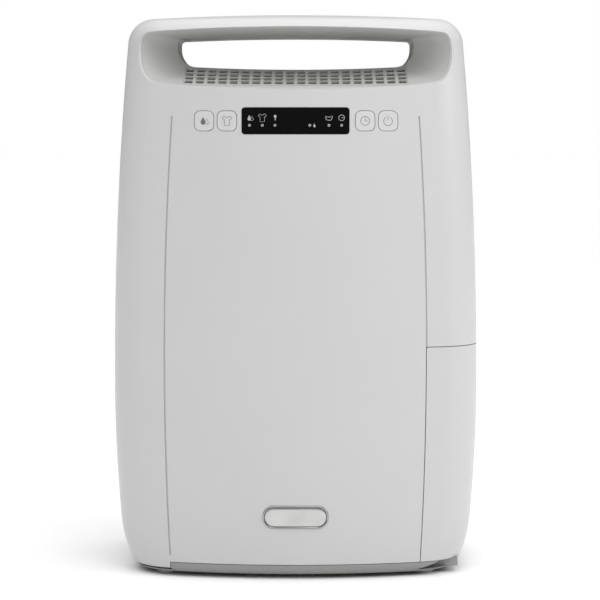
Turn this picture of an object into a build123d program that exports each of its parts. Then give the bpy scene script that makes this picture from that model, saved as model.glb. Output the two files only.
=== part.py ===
from build123d import *
import math
import os
from functools import cache

os.makedirs("parts", exist_ok=True)

# Compact compressor dehumidifier. Millimetres, +Z up, the front faces -Y, +X to the right.
# The origin is on the floor, under the middle of the casing.

# ---------------------------------------------------------------- driving dimensions
casing_width = 331.0
casing_depth = 215.0
casing_height = 507.0
foot_height = 3.0
wall = 2.8                    # moulded casing wall
seam = 0.5                    # gap between two covers
slide_gap = 0.4               # gap round a piece that slides in a cut-out
seat_gap = 0.3                # gap between a piece and what carries it

widest_z = 170.0              # height at which the casing is widest and deepest
bulge_up = 3600.0             # radius of the sides and front above that height
side_bulge_down = 1390.0      # radius of the sides below it
heel_radius = 95.0            # radius of the sides near the floor
heel_top_z = 46.0
front_bulge_down = 2500.0     # radius of the front and back below it
crown_radius = 2350.0         # radius of the top, seen from the front
crown_side_radius = 540.0     # radius of the top, seen from the side
front_plan_radius = 450.0     # radius of the front, seen from above
rear_plan_radius = 1100.0
front_corner = 45.0
rear_corner = 30.0
top_round = 24.0
bottom_round = 12.0

base_top = 13.0               # height of the line between base tray and covers
left_skirt = 7.6              # the cover reaches lower beside the left seam
cover_split_y = 8.0           # front and rear cover meet here

ring_height = 14.6            # bar of the casing above the handle opening
lip_drop = 51.5               # height of the handle opening at the face
lip_half = 162.0              # the casing's rounded corner cuts the funnel before this
rear_lip_half = 138.0
lip_depth = 23.5              # the funnel starts this far behind the face
flare_steps = ((7.0, 1.2), (14.0, 4.8), (20.0, 10.0))   # ahead of the lip, growth of the opening
throat_half = 107.2
throat_drop = 30.4
throat_below_lip = 5.6        # the throat's top is this far below the lip's top
throat_run = 46.0             # the funnel's length from lip to throat
liner_wall = 2.2

seam_inset = 48.3             # the styling seam's furthest point from the side
seam_mid_z = 190.0
seam_radius = 3400.0
seam_low_z = 20.0
seam_high_z = 414.0
groove_width = 1.2
groove_depth = 1.0

control_z = 409.8             # middle of the row of buttons
button_width = 17.0
button_height = 17.5
button_corner = 5.0
button_pitch = 20.4
button_inner_x = 60.6         # middle of the button nearest the display
button_travel = 1.0
switch_height = 0.9
display_width = 94.6
display_height = 23.0
display_thickness = 2.0
badge_width = 59.5
badge_height = 21.2
badge_z = 57.1
badge_thickness = 0.8

grille_columns = 20
grille_rows = 4
grille_pitch = 10.05
grille_row_pitch = 10.4
grille_slot = 7.3
grille_slot_run = 7.9

shelf_z = 212.0               # underside of the shelf that carries fan and coils
shelf_thickness = 3.0
bay_wall_x = 40.0             # left wall of the tank bay
bay_wall_y = 62.0             # rear wall of the tank bay
panel = 3.0                   # thickness of those walls

tank_gap = 0.6                # gap round the tank's outer skin
tank_wall = 2.0
tank_top = 192.0
tank_skin_top = 208.0
tank_grip_half = 36.0
tank_grip_low = 174.0
tank_grip_depth = 17.0
lid_thickness = 2.6
float_pivot_z = 150.0
float_pin_radius = 1.5
pin_clearance = 0.1

intake_half = 114.0
intake_low = 222.0
intake_high = 420.0
filter_corner = 8.0
coil_thickness = 20.0
coil_row_pitch = 24.0
coil_rows = 8
fin_count = 28
fin_thickness = 0.4
tube_radius = 4.0
tube_clearance = 0.1
end_plate = 1.2

wheel_radius = 75.0
wheel_width = 42.0
blade_count = 30
scroll_radius = 90.0
scroll_wall = 2.0
motor_radius = 36.0
motor_shaft_radius = 3.0

compressor_x = -88.0
compressor_y = 8.0
compressor_radius = 46.0
compressor_low = 27.0
compressor_high = 184.0
compressor_wall = 2.6
compressor_foot_radius = 60.0
shaft_radius = 6.0
running_clearance = 0.05

port_z = 193.0                # rear ports: drain spout and cord gland
drain_x = 78.0
gland_x = -80.0
gland_z = 42.0
port_radius = 17.0
port_depth = 17.5

# ---------------------------------------------------------------- values that follow
side_x = casing_width / 2
front_y = -casing_depth / 2
rear_y = casing_depth / 2
lip_top = casing_height - ring_height
lip_bottom = lip_top - lip_drop
lip_y = front_y + lip_depth
throat_y = lip_y + throat_run
throat_top = lip_top - throat_below_lip
far = 2 * casing_depth        # longer than anything that is cut
crown_axis_z = casing_height - crown_side_radius

LIP = dict(half=lip_half, top=lip_top, bottom=lip_bottom,
           top_sag=1.5, bottom_sag=2.0, top_corner=15.0, bottom_corner=32.0)
REAR_LIP = dict(half=rear_lip_half, top=lip_top, bottom=lip_bottom,
                top_sag=2.5, bottom_sag=5.0, top_corner=12.0, bottom_corner=28.0)
THROAT = dict(half=throat_half, top=throat_top, bottom=throat_top - throat_drop,
              top_sag=2.6, bottom_sag=3.2, top_corner=4.0, bottom_corner=18.0)


def keep(piece, label):
    """Name a finished piece and write it."""
    piece.part.label = label
    export_step(piece.part, f"parts/{label}.step")


def drop(distance, radius):
    """How far an arc falls away at a distance from its highest point."""
    return radius - math.sqrt(radius**2 - distance**2)


def at_y(y):
    """The upright plane at y, facing the front. A positive extrude goes to the front."""
    return Plane.XZ.offset(-y)


def bulging_edge(half, sign, low, high, radius_down, heel=0.0):
    """The arcs of a bulging edge, from low to high, the lowest of radius heel. Returns its ends."""
    foot = (sign * (half - drop(widest_z - low, radius_down)), low)
    joint = foot
    if heel:
        joint = (sign * (half - drop(widest_z - heel_top_z, radius_down)), heel_top_z)
        lean = math.asin((widest_z - heel_top_z) / radius_down)
        middle = (abs(joint[0]) - heel * math.cos(lean), heel_top_z + heel * math.sin(lean))
        low_x, mid_x = (middle[0] + math.sqrt(heel**2 - (z - middle[1])**2)
                        for z in (low, (low + heel_top_z) / 2))
        foot = (sign * low_x, low)
        ThreePointArc(foot, (sign * mid_x, (low + heel_top_z) / 2), joint)
    low_mid_z = (joint[1] + widest_z) / 2
    low_mid = (sign * (half - drop(widest_z - low_mid_z, radius_down)), low_mid_z)
    high_mid = (sign * (half - drop((high - widest_z) / 2, bulge_up)), (high + widest_z) / 2)
    high_end = (sign * (half - drop(high - widest_z, bulge_up)), high)
    ThreePointArc(joint, low_mid, (sign * half, widest_z))
    ThreePointArc((sign * half, widest_z), high_mid, high_end)
    return foot, high_end


@cache
def envelope(inset):
    """The casing's outer form as one block, moved inwards by inset."""
    low = foot_height + inset
    high = casing_height - inset
    with BuildPart() as block:
        with BuildSketch(Plane.XZ):
            with BuildLine():
                right = bulging_edge(side_x - inset, 1, low, high, side_bulge_down, heel_radius - inset)
                left = bulging_edge(side_x - inset, -1, low, high, side_bulge_down, heel_radius - inset)
                Line(right[0], left[0])
                Line(right[1], left[1])
            make_face()
        extrude(amount=far, both=True)
        for sign, plan_radius in ((-1, front_plan_radius), (1, rear_plan_radius)):
            axis_y = sign * (casing_depth / 2 - plan_radius)
            with BuildSketch(Plane.YZ):
                with BuildLine():
                    face = bulging_edge(rear_y - inset, sign, low, high, front_bulge_down)
                    Polyline(face[1], (axis_y, high), (axis_y, low), face[0])
                make_face()
            revolve(axis=Axis((0, axis_y, 0), (0, 0, 1)), mode=Mode.INTERSECT)
        with BuildSketch(Plane.XY.offset(crown_axis_z)):
            with BuildLine():
                reach = high - crown_axis_z
                side_reach = reach - drop(casing_width, crown_radius)
                crown = ThreePointArc((-casing_width, side_reach), (0, reach), (casing_width, side_reach))
                Polyline(crown @ 1, (casing_width, 0), (-casing_width, 0), crown @ 0)
            make_face()
        revolve(axis=Axis((0, 0, crown_axis_z), (1, 0, 0)), mode=Mode.INTERSECT)
        uprights = block.edges().filter_by(lambda e: abs((e @ 0).Z - (e @ 1).Z) > 30)
        fillet(uprights.filter_by(lambda e: e.center().Y < 0), radius=front_corner - inset)
        uprights = block.edges().filter_by(lambda e: abs((e @ 0).Z - (e @ 1).Z) > 30)
        sharp = uprights.filter_by(lambda e: e.center().Y > rear_y - 40)
        fillet(sharp, radius=rear_corner - inset)
        fillet(block.faces().sort_by(Axis.Z)[-1].edges(), radius=top_round - inset)
        fillet(block.faces().sort_by(Axis.Z)[0].edges(), radius=bottom_round - inset)
    return block.part


def opening_outline(half, top, bottom, top_sag, bottom_sag, top_corner, bottom_corner, grow=0.0):
    """The handle opening's outline, moved outwards by grow."""
    half, top, bottom = half + grow, top + grow, bottom - grow
    with BuildSketch() as outline:
        with BuildLine():
            upper = ThreePointArc((half, top - top_sag), (0, top), (-half, top - top_sag))
            lower = ThreePointArc((-half, bottom + bottom_sag), (0, bottom), (half, bottom + bottom_sag))
            Line(upper @ 1, lower @ 0)
            Line(lower @ 1, upper @ 0)
        make_face()
        fillet(outline.vertices().group_by(Axis.Y)[-1], radius=top_corner + grow)
        fillet(outline.vertices().group_by(Axis.Y)[0], radius=bottom_corner + grow)
    return outline.sketch


def funnel(sections):
    """A ruled solid through outlines, each given as its plane's y, its sizes and its growth."""
    with BuildPart() as solid:
        for near, next_one in zip(sections, sections[1:]):
            for y, sizes, grow in (near, next_one):
                with BuildSketch(at_y(y)):
                    add(opening_outline(**sizes, grow=grow))
            loft(ruled=True)
    return solid.part


def lip_void(sign, grow=0.0):
    """The flared mouth of the handle opening, ahead of the lip, at the front (-1) or back (1)."""
    steps = ((0.0, 0.0),) + flare_steps
    sizes = LIP if sign < 0 else REAR_LIP
    return funnel([(sign * (abs(lip_y) + ahead), sizes, grow + flare) for ahead, flare in steps])


@cache
def handle_void(grow=0.0):
    """The handle's open space from face to face: a mouth and a funnel each end, and the throat."""
    with BuildPart() as void:
        with BuildSketch(at_y(-throat_y)):
            add(opening_outline(**THROAT, grow=grow))
        extrude(amount=-2 * throat_y)
        for sign, sizes in ((-1, LIP), (1, REAR_LIP)):
            add(funnel([(sign * abs(throat_y), THROAT, grow), (sign * abs(lip_y), sizes, grow)]))
            add(lip_void(sign, grow))
    return void.part


def seam_x(z):
    """Half the distance between the two styling seams at a height."""
    return side_x - seam_inset - drop(z - seam_mid_z, seam_radius)


def right_of_seam(low, high, shift):
    """Everything to the right of the right-hand seam, between two heights, as a flat face."""
    middle = (low + high) / 2
    with BuildSketch() as region:
        with BuildLine():
            edge = ThreePointArc((seam_x(low) + shift, low), (seam_x(middle) + shift, middle),
                                 (seam_x(high) + shift, high))
            Polyline(edge @ 1, (far, high), (far, low), edge @ 0)
        make_face()
    return region.sketch


def centred(width, height, corner, x, z):
    """A rounded rectangle of the front view."""
    with BuildSketch() as outline:
        with Locations((x, z)):
            RectangleRounded(width, height, corner)
    return outline.sketch


def front_prism(outline, y_back=0.0, y_front=-far):
    """An outline of the front view, pushed forward from y_back to y_front."""
    with BuildPart() as prism:
        with BuildSketch(at_y(y_back)):
            add(outline)
        extrude(amount=y_back - y_front)
    return prism.part


def block(x, y, z):
    """A box given by its low and high x, y and z."""
    with BuildPart() as box:
        with Locations(((x[0] + x[1]) / 2, (y[0] + y[1]) / 2, (z[0] + z[1]) / 2)):
            Box(x[1] - x[0], y[1] - y[0], z[1] - z[0])
    return box.part


def pipe(points, bends, radius, bore=0.0):
    """A round pipe or lead along straight runs joined by arcs."""
    with BuildPart() as solid:
        with BuildLine() as route:
            FilletPolyline(*points, radius=bends)
        with BuildSketch(Plane(origin=route.line @ 0, z_dir=route.line % 0)):
            Circle(radius)
            if bore:
                Circle(bore, mode=Mode.SUBTRACT)
        sweep()
    return solid.part


# ---------------------------------------------------------------- shared forms
casing_block = envelope(0)
casing_room = envelope(wall)
inner_room = envelope(wall + seat_gap)
open_handle = handle_void()

with BuildPart() as hollow:
    add(casing_room)
    for end in (-1, 1):
        add(lip_void(end, wall), mode=Mode.SUBTRACT)

with BuildPart() as casing_shell:
    add(casing_block)
    add(hollow.part, mode=Mode.SUBTRACT)
    add(open_handle, mode=Mode.SUBTRACT)

# ---------------------------------------------------------------- places that pieces share
base_floor = foot_height + panel
coil_back_y = rear_y - 27.5
evaporator_y = coil_back_y - coil_thickness / 2
condenser_y = evaporator_y - coil_thickness - 6
coil_x = intake_half - 3
coil_low = shelf_z + 15
first_row_z = coil_low + 11
last_row_z = first_row_z + (coil_rows - 1) * coil_row_pitch
coil_high = last_row_z + 11
bend_x = coil_x + 15
pipe_x = -(bend_x + 16)
shelf_top = shelf_z + shelf_thickness
fan_z = shelf_top + seat_gap + scroll_radius
scroll_front_y = front_y + 49.5
scroll_back_y = scroll_front_y + wheel_width + 10
wheel_front_y = scroll_front_y + 6
motor_back_y = scroll_front_y - 3.3
board_y = front_y + 27.5
board_thickness = 1.6
tank_left_x = bay_wall_x + panel + 3.5
tank_front_y = front_y + 24
tank_low = base_top + seam
float_pivot_x = tank_left_x + 12
drip_x = bay_wall_x + 55
filter_y = coil_back_y + 4
filter_mid_z = (intake_low + intake_high) / 2
screw_places = ((side_x - 46, base_floor + 24), (side_x - 42, shelf_z + 1.5), (side_x - 46, lip_bottom - 10))
screw_radius = 1.6
screw_head = 3.4
screw_seat_y = rear_y - 31
boss_radius = 5.5
fin_pitch = 2 * (coil_x - 2) / (fin_count - 1)
button_places = {"humidity_button": -(button_inner_x + button_pitch), "laundry_button": -button_inner_x,
                 "timer_button": button_inner_x + 1, "power_button": button_inner_x + 1 + button_pitch}

# ---------------------------------------------------------------- tank side, grooves
tank_zone = front_prism(right_of_seam(tank_low, tank_skin_top, 0.0), bay_wall_y)
tank_cutout = front_prism(right_of_seam(foot_height - 1, tank_skin_top + tank_gap, -tank_gap),
                          bay_wall_y + tank_gap)

with BuildPart() as groove_band:
    with BuildSketch(Plane.XZ):
        add(right_of_seam(seam_low_z, seam_high_z, -groove_width / 2))
        add(right_of_seam(seam_low_z, seam_high_z, groove_width / 2), mode=Mode.SUBTRACT)
        mirror(about=Plane.YZ)
    extrude(amount=far)

with BuildPart() as seam_grooves:
    add(casing_block)
    add(envelope(groove_depth), mode=Mode.SUBTRACT)
    add(groove_band.part, mode=Mode.INTERSECT)

# ---------------------------------------------------------------- base tray and feet
left_edge_x = -seam_x(base_top)
compressor_feet = [(compressor_x + compressor_foot_radius * math.cos(math.radians(turn)),
                    compressor_y + compressor_foot_radius * math.sin(math.radians(turn)))
                   for turn in (102, 222, 342)]
capacitor_place = (-5.0, front_y + 45)
capacitor_radius = 16.0
rail_places = (tank_front_y + 22, bay_wall_y - 22)

with BuildPart() as skirted_base:
    add(inner_room)
    add(block((-far, far), (-far, far), (0, base_top)), mode=Mode.INTERSECT)

with BuildPart() as base_foot:
    add(casing_block)
    add(block((-far, far), (-far, far), (0, base_floor)), mode=Mode.INTERSECT)

with BuildPart() as base_tray:
    add(casing_block)
    add(block((left_edge_x, far), (-far, far), (0, base_top)), mode=Mode.INTERSECT)
    add(skirted_base.part)
    add(base_foot.part)
    with BuildSketch(Plane.XY.offset(base_floor)):
        RectangleRounded(casing_width - 32, casing_depth - 45, 38)
    extrude(amount=casing_height, mode=Mode.SUBTRACT)
    with BuildSketch(Plane.XY.offset(base_floor)):
        with Locations(*compressor_feet):
            Circle(10)
    extrude(amount=6)
    with BuildSketch(Plane.XY.offset(base_floor)):
        with Locations(capacitor_place):
            Circle(capacitor_radius + 2.3)
            Circle(capacitor_radius + seat_gap, mode=Mode.SUBTRACT)
    extrude(amount=8)
    for rail_y in rail_places:
        add(block((tank_left_x, side_x - 18), (rail_y - 6, rail_y + 6), (base_floor, tank_low - seat_gap)))
    for side in (-1, 1):
        post_x, post_z = side * screw_places[0][0], screw_places[0][1]
        add(block((post_x - 6, post_x + 6), (screw_seat_y - 8, screw_seat_y), (base_floor, post_z + 6)))
        with BuildSketch(at_y(screw_seat_y)):
            with Locations((post_x, post_z)):
                Circle(screw_radius + 0.1)
        extrude(amount=8, mode=Mode.SUBTRACT)
keep(base_tray, "base_tray")

with BuildPart() as feet:
    with BuildSketch(Plane.XY):
        with GridLocations(casing_width - 96, casing_depth - 87, 2, 2):
            Circle(8)
    extrude(amount=foot_height)
    fillet(feet.faces().group_by(Axis.Z)[0].edges(), radius=0.8)
keep(feet, "feet")

# ---------------------------------------------------------------- covers
with BuildPart() as cover_stock:
    add(casing_shell.part)
    add(block((left_edge_x - seam, far), (-far, far), (0, base_top + seam)), mode=Mode.SUBTRACT)
    add(block((-far, left_edge_x), (-far, far), (0, left_skirt)), mode=Mode.SUBTRACT)
    add(tank_cutout, mode=Mode.SUBTRACT)

display_outline = centred(display_width, display_height, 2.5, 0, control_z)
display_hole = centred(display_width + 2 * seam, display_height + 2 * seam, 2.5 + seam, 0, control_z)
board_peg_x = display_width / 2 - 7
board_peg_z = control_z - display_height / 2 - 4

with BuildPart() as front_cover:
    add(cover_stock.part)
    split(bisect_by=at_y(cover_split_y - seam / 2), keep=Keep.TOP)
    add(seam_grooves.part, mode=Mode.SUBTRACT)
    add(front_prism(display_hole, board_y), mode=Mode.SUBTRACT)
    with BuildSketch(at_y(board_y)):
        for x in button_places.values():
            add(centred(button_width + 2 * slide_gap, button_height + 2 * slide_gap,
                        button_corner + slide_gap, x, control_z))
    extrude(amount=far, mode=Mode.SUBTRACT)
    with BuildSketch(at_y(board_y - seat_gap)):
        with Locations((-board_peg_x, board_peg_z), (board_peg_x, board_peg_z)):
            Circle(2.5)
    extrude(until=Until.NEXT)
keep(front_cover, "front_cover")

filter_width = 2 * intake_half
filter_height = intake_high - intake_low
sleeve_wall = 2.4
ports = ((drain_x, port_z), (gland_x, gland_z))
port_floor_y = rear_y - port_depth
port_wall = 2.4
drain_radius = 5.0
gland_radius = 7.5


def rear_prism(outline, y_inner):
    """An outline of the front view, pushed back from y_inner through the rear face."""
    with BuildPart() as prism:
        with BuildSketch(at_y(y_inner)):
            add(outline)
        extrude(amount=-far)
    return prism.part


def filter_outline(grow):
    """The filter's outline, moved outwards by grow."""
    return centred(filter_width + 2 * grow, filter_height + 2 * grow, filter_corner + grow, 0, filter_mid_z)


def discs(places, radius):
    """Round outlines of the front view."""
    with BuildSketch() as outline:
        with Locations(*places):
            Circle(radius)
    return outline.sketch


all_screws = [(sign * x, z) for x, z in screw_places for sign in (-1, 1)]

with BuildPart() as rear_fittings:
    add(rear_prism(filter_outline(slide_gap + sleeve_wall), filter_y - 3.5))
    add(rear_prism(discs(ports, port_radius + port_wall), port_floor_y - port_wall))
    add(rear_prism(discs(all_screws, boss_radius), screw_seat_y + seat_gap))
    add(casing_block, mode=Mode.INTERSECT)

with BuildPart() as rear_cover:
    add(cover_stock.part)
    split(bisect_by=at_y(cover_split_y + seam / 2), keep=Keep.BOTTOM)
    add(rear_fittings.part)
    add(rear_prism(filter_outline(slide_gap), filter_y - 0.3), mode=Mode.SUBTRACT)
    add(rear_prism(filter_outline(-4), 0), mode=Mode.SUBTRACT)
    add(rear_prism(discs(ports, port_radius), port_floor_y), mode=Mode.SUBTRACT)
    add(rear_prism(discs([ports[0]], drain_radius + seat_gap), 0), mode=Mode.SUBTRACT)
    add(rear_prism(discs([ports[1]], gland_radius + seat_gap), 0), mode=Mode.SUBTRACT)
    add(rear_prism(discs(all_screws, screw_radius + 0.2), 0), mode=Mode.SUBTRACT)
    add(rear_prism(discs(all_screws, screw_head + 0.3), screw_seat_y + 6), mode=Mode.SUBTRACT)
keep(rear_cover, "rear_cover")

with BuildPart() as casing_screws:
    with BuildSketch(at_y(screw_seat_y - 7)):
        add(discs(all_screws, screw_radius))
    extrude(amount=-13)
    with BuildSketch(at_y(screw_seat_y + 6)):
        add(discs(all_screws, screw_head))
    extrude(amount=-2.4)
    fillet(casing_screws.faces().sort_by(Axis.Y)[-6:].edges(), radius=0.8)
    with BuildSketch(at_y(screw_seat_y + 8.4)):
        with Locations(*all_screws):
            Rectangle(3.2, 0.8)
            Rectangle(0.8, 3.2)
    extrude(amount=1.2, mode=Mode.SUBTRACT)
keep(casing_screws, "casing_screws")

# ---------------------------------------------------------------- handle liners and outlet grille
floor_rise = THROAT["bottom"] - LIP["bottom"]
floor_turn = math.degrees(math.atan2(floor_rise, throat_run))
grille_half_x = grille_columns * grille_pitch / 2 - 0.5
grille_front_y = lip_y + 2.5
grille_back_y = throat_y - 1.0
grille_mid_y = (grille_front_y + grille_back_y) / 2
grille_mid_z = LIP["bottom"] + floor_rise * (grille_mid_y - lip_y) / throat_run
grille_space = (lip_bottom - 8, throat_top - 15)

with BuildPart() as liner_stock:
    add(handle_void(liner_wall))
    add(inner_room, mode=Mode.INTERSECT)
    add(block((-far, far), (lip_y + 0.2, -lip_y - 0.2), (0, casing_height)), mode=Mode.INTERSECT)
    add(open_handle, mode=Mode.SUBTRACT)

with BuildPart() as handle_liner_front:
    add(liner_stock.part)
    split(bisect_by=at_y(-seam / 2), keep=Keep.TOP)
    add(block((-grille_half_x - 0.2, grille_half_x + 0.2), (grille_front_y - 0.2, grille_back_y + 0.2),
              grille_space), mode=Mode.SUBTRACT)
keep(handle_liner_front, "handle_liner_front")

top_post_x, top_post_z = screw_places[2]

with BuildPart() as liner_tabs:
    for side in (-1, 1):
        add(block((side * top_post_x - 5, side * top_post_x + 5), (screw_seat_y - 7, screw_seat_y),
                  (top_post_z - 6, lip_bottom + 12)))
        with BuildSketch(at_y(screw_seat_y)):
            with Locations((side * top_post_x, top_post_z)):
                Circle(screw_radius + 0.1)
        extrude(amount=7, mode=Mode.SUBTRACT)
    add(handle_void(liner_wall / 2), mode=Mode.SUBTRACT)

with BuildPart() as handle_liner_rear:
    add(liner_stock.part)
    split(bisect_by=at_y(seam / 2), keep=Keep.BOTTOM)
    add(liner_tabs.part)
keep(handle_liner_rear, "handle_liner_rear")

slope = Plane(origin=(0, grille_mid_y, grille_mid_z), x_dir=(1, 0, 0),
              z_dir=(0, -math.sin(math.radians(floor_turn)), math.cos(math.radians(floor_turn))))

with BuildPart() as outlet_grille:
    add(liner_stock.part)
    add(block((-grille_half_x, grille_half_x), (grille_front_y, grille_back_y), grille_space),
        mode=Mode.INTERSECT)
    with BuildSketch(slope):
        with GridLocations(grille_pitch, grille_row_pitch, grille_columns, grille_rows):
            RectangleRounded(grille_slot, grille_slot_run, 1.2)
    extrude(amount=12, both=True, mode=Mode.SUBTRACT)
keep(outlet_grille, "outlet_grille")

# ---------------------------------------------------------------- display, plate, buttons, board
with BuildPart() as display_window:
    add(front_prism(display_outline, board_y))
    add(casing_block, mode=Mode.INTERSECT)
    add(envelope(display_thickness), mode=Mode.SUBTRACT)
keep(display_window, "display_window")

with BuildPart() as front_plate:
    add(front_prism(centred(badge_width, badge_height, badge_height / 2 - 0.01, 0, badge_z), front_y + 20))
    add(envelope(-badge_thickness), mode=Mode.INTERSECT)
    add(casing_block, mode=Mode.SUBTRACT)
keep(front_plate, "front_plate")

button_back_y = board_y - switch_height - button_travel - 0.2
flange_y = board_y - 4.8

for button_name, button_x in button_places.items():
    with BuildPart() as button:
        add(front_prism(centred(button_width, button_height, button_corner, button_x, control_z), flange_y))
        add(casing_block, mode=Mode.INTERSECT)
        add(front_prism(centred(button_width + 2, button_height + 2, button_corner, button_x, control_z),
                        flange_y, flange_y - 1.2))
        add(front_prism(discs([(button_x, control_z)], 3), button_back_y, flange_y))
    keep(button, button_name)

with BuildPart() as control_board:
    board_half_x = button_inner_x + button_pitch + button_width / 2 + 2
    add(block((-board_half_x, board_half_x), (board_y, board_y + board_thickness),
              (board_peg_z - 3, control_z + display_height / 2)))
    with BuildSketch(at_y(board_y)):
        with Locations((0, control_z)):
            Rectangle(display_width - 14, display_height - 7)
    extrude(amount=9)
    with BuildSketch(at_y(board_y)):
        with Locations(*((x, control_z) for x in button_places.values())):
            Rectangle(6, 6)
    extrude(amount=switch_height)
keep(control_board, "control_board")

# ---------------------------------------------------------------- inner frame: bay walls and shelf
lead_hole = (pipe_x + 22, front_y + 57)
left_shelf_y = front_y + 88

with BuildPart() as inner_frame:
    add(block((bay_wall_x, bay_wall_x + panel), (tank_front_y, bay_wall_y + panel),
              (base_floor + seat_gap, shelf_top)))
    add(block((bay_wall_x, bay_wall_x + panel), (-far, tank_front_y), (base_top + seam, shelf_top)))
    add(block((bay_wall_x, side_x - 24), (bay_wall_y, bay_wall_y + panel), (base_floor + seat_gap, shelf_top)))
    add(block((-intake_half, side_x - 18), (front_y + 16, screw_seat_y), (shelf_z, shelf_top)))
    add(block((-side_x, -intake_half), (front_y + 16, left_shelf_y), (shelf_z, shelf_top)))
    for side in (-1, 1):
        post_x, post_z = side * screw_places[1][0], screw_places[1][1]
        add(block((post_x - 6, post_x + 6), (screw_seat_y - 8, screw_seat_y), (shelf_z - 3, shelf_top + 3)))
    add(block((-screw_places[1][0], -intake_half), (screw_seat_y - 8, screw_seat_y), (shelf_z, shelf_top)))
    add(inner_room, mode=Mode.INTERSECT)
    with BuildSketch(Plane.XY.offset(shelf_top + 5)):
        with Locations((drip_x, condenser_y), (drain_x, evaporator_y)):
            Circle(8.5)
        with Locations(lead_hole):
            Circle(4)
    extrude(amount=-20, mode=Mode.SUBTRACT)
    with BuildSketch(at_y(screw_seat_y)):
        with Locations((-screw_places[1][0], screw_places[1][1]), screw_places[1]):
            Circle(screw_radius + 0.1)
    extrude(amount=8, mode=Mode.SUBTRACT)
keep(inner_frame, "inner_frame")

# ---------------------------------------------------------------- water tank
grip_cut = block((side_x - tank_grip_depth, far), (-tank_grip_half, tank_grip_half), (tank_grip_low, far))


def tank_room(shrink):
    """The tank's outer form, or its hollow when shrunk by the wall."""
    with BuildPart() as room:
        add(envelope(wall + seat_gap + shrink))
        add(block((tank_left_x + shrink, far), (tank_front_y + shrink, bay_wall_y - tank_gap - shrink),
                  (tank_low + shrink, tank_top + shrink)), mode=Mode.INTERSECT)
        add(block((side_x - tank_grip_depth - shrink, far),
                  (-tank_grip_half - shrink, tank_grip_half + shrink), (tank_grip_low - shrink, far)),
            mode=Mode.SUBTRACT)
    return room.part


ear_y = (17.9, 21.0)

with BuildPart() as tank:
    add(tank_room(0))
    add(tank_room(tank_wall), mode=Mode.SUBTRACT)
    for side in (-1, 1):
        near, away = sorted((side * ear_y[0], side * ear_y[1]))
        add(block((tank_left_x, float_pivot_x + 5), (near, away), (float_pivot_z - 5, float_pivot_z + 5)))
    with BuildSketch(at_y(ear_y[1] + 1)):
        with Locations((float_pivot_x, float_pivot_z)):
            Circle(float_pin_radius + 0.05)
    extrude(amount=2 * ear_y[1] + 2, mode=Mode.SUBTRACT)
keep(tank, "tank")

with BuildPart() as tank_skin:
    add(casing_block)
    add(casing_room, mode=Mode.SUBTRACT)
    add(tank_zone, mode=Mode.INTERSECT)
    add(grip_cut, mode=Mode.SUBTRACT)
keep(tank_skin, "tank_skin")

with BuildPart() as lid_rim:
    add(tank_room(tank_wall + 0.3))
    add(tank_room(tank_wall + 1.7), mode=Mode.SUBTRACT)
    add(block((-far, far), (-far, far), (tank_top - 5, tank_top + 0.5)), mode=Mode.INTERSECT)

with BuildPart() as tank_lid:
    add(envelope(wall + seat_gap))
    add(block((tank_left_x, far), (tank_front_y, bay_wall_y - tank_gap),
              (tank_top + 0.1, tank_top + lid_thickness)), mode=Mode.INTERSECT)
    add(grip_cut, mode=Mode.SUBTRACT)
    add(lid_rim.part)
    with BuildSketch(Plane.XY.offset(tank_top - 10)):
        with Locations((drip_x, condenser_y)):
            Circle(14)
        with Locations((side_x - 52, tank_front_y + 26)):
            RectangleRounded(44, 24, 8)
    extrude(amount=20, mode=Mode.SUBTRACT)
keep(tank_lid, "tank_lid")

with BuildPart() as float_pin:
    with BuildSketch(at_y(ear_y[1] + 1)):
        with Locations((float_pivot_x, float_pivot_z)):
            Circle(float_pin_radius)
    extrude(amount=2 * ear_y[1] + 2)
keep(float_pin, "float_pin")

with BuildPart() as tank_float:
    hub_half_y = ear_y[0] - 0.4
    with BuildSketch(at_y(hub_half_y)):
        with Locations((float_pivot_x, float_pivot_z)):
            Circle(3.6)
    extrude(amount=2 * hub_half_y)
    add(block((float_pivot_x + 2, float_pivot_x + 38), (-16, 16), (float_pivot_z - 7, float_pivot_z + 7)))
    add(block((float_pivot_x - 8, float_pivot_x), (-4, 4), (float_pivot_z - 3, float_pivot_z + 3)))
    with BuildSketch(at_y(hub_half_y + 1)):
        with Locations((float_pivot_x, float_pivot_z)):
            Circle(float_pin_radius + pin_clearance)
    extrude(amount=2 * hub_half_y + 2, mode=Mode.SUBTRACT)
    with BuildSketch(Plane.YZ.offset(float_pivot_x - 8)):
        with Locations((0, float_pivot_z)):
            Circle(2.1)
    extrude(amount=3, mode=Mode.SUBTRACT)
keep(tank_float, "tank_float")

with BuildPart() as float_magnet:
    with BuildSketch(Plane.YZ.offset(float_pivot_x - 8)):
        with Locations((0, float_pivot_z)):
            Circle(2.0)
    extrude(amount=2.9)
keep(float_magnet, "float_magnet")

with BuildPart() as level_sensor:
    add(block((bay_wall_x - 6, bay_wall_x - 0.2), (-9, 9), (float_pivot_z - 9, float_pivot_z + 9)))
    chamfer(level_sensor.faces().sort_by(Axis.X)[0].edges(), length=1)
keep(level_sensor, "level_sensor")

# ---------------------------------------------------------------- rear filter
slot_columns = 3
slot_rows = 15
slot_pitch = 12.2
slot_height = 7.0
filter_skin = 3.0
frame_wall = 3.0
column_pitch = (filter_width - 16) / slot_columns

with BuildPart() as filter_pocket:
    add(rear_prism(filter_outline(-frame_wall), 0))
    add(envelope(filter_skin), mode=Mode.INTERSECT)

pull_opening = block((-22, 22), (rear_y - 14, far), (intake_low + 3, intake_low + 11))

with BuildPart() as pull_cup:
    add(block((-24, 24), (rear_y - 16, rear_y - 4), (intake_low, intake_low + 13)))
    add(pull_opening, mode=Mode.SUBTRACT)
    add(casing_block, mode=Mode.INTERSECT)

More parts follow.
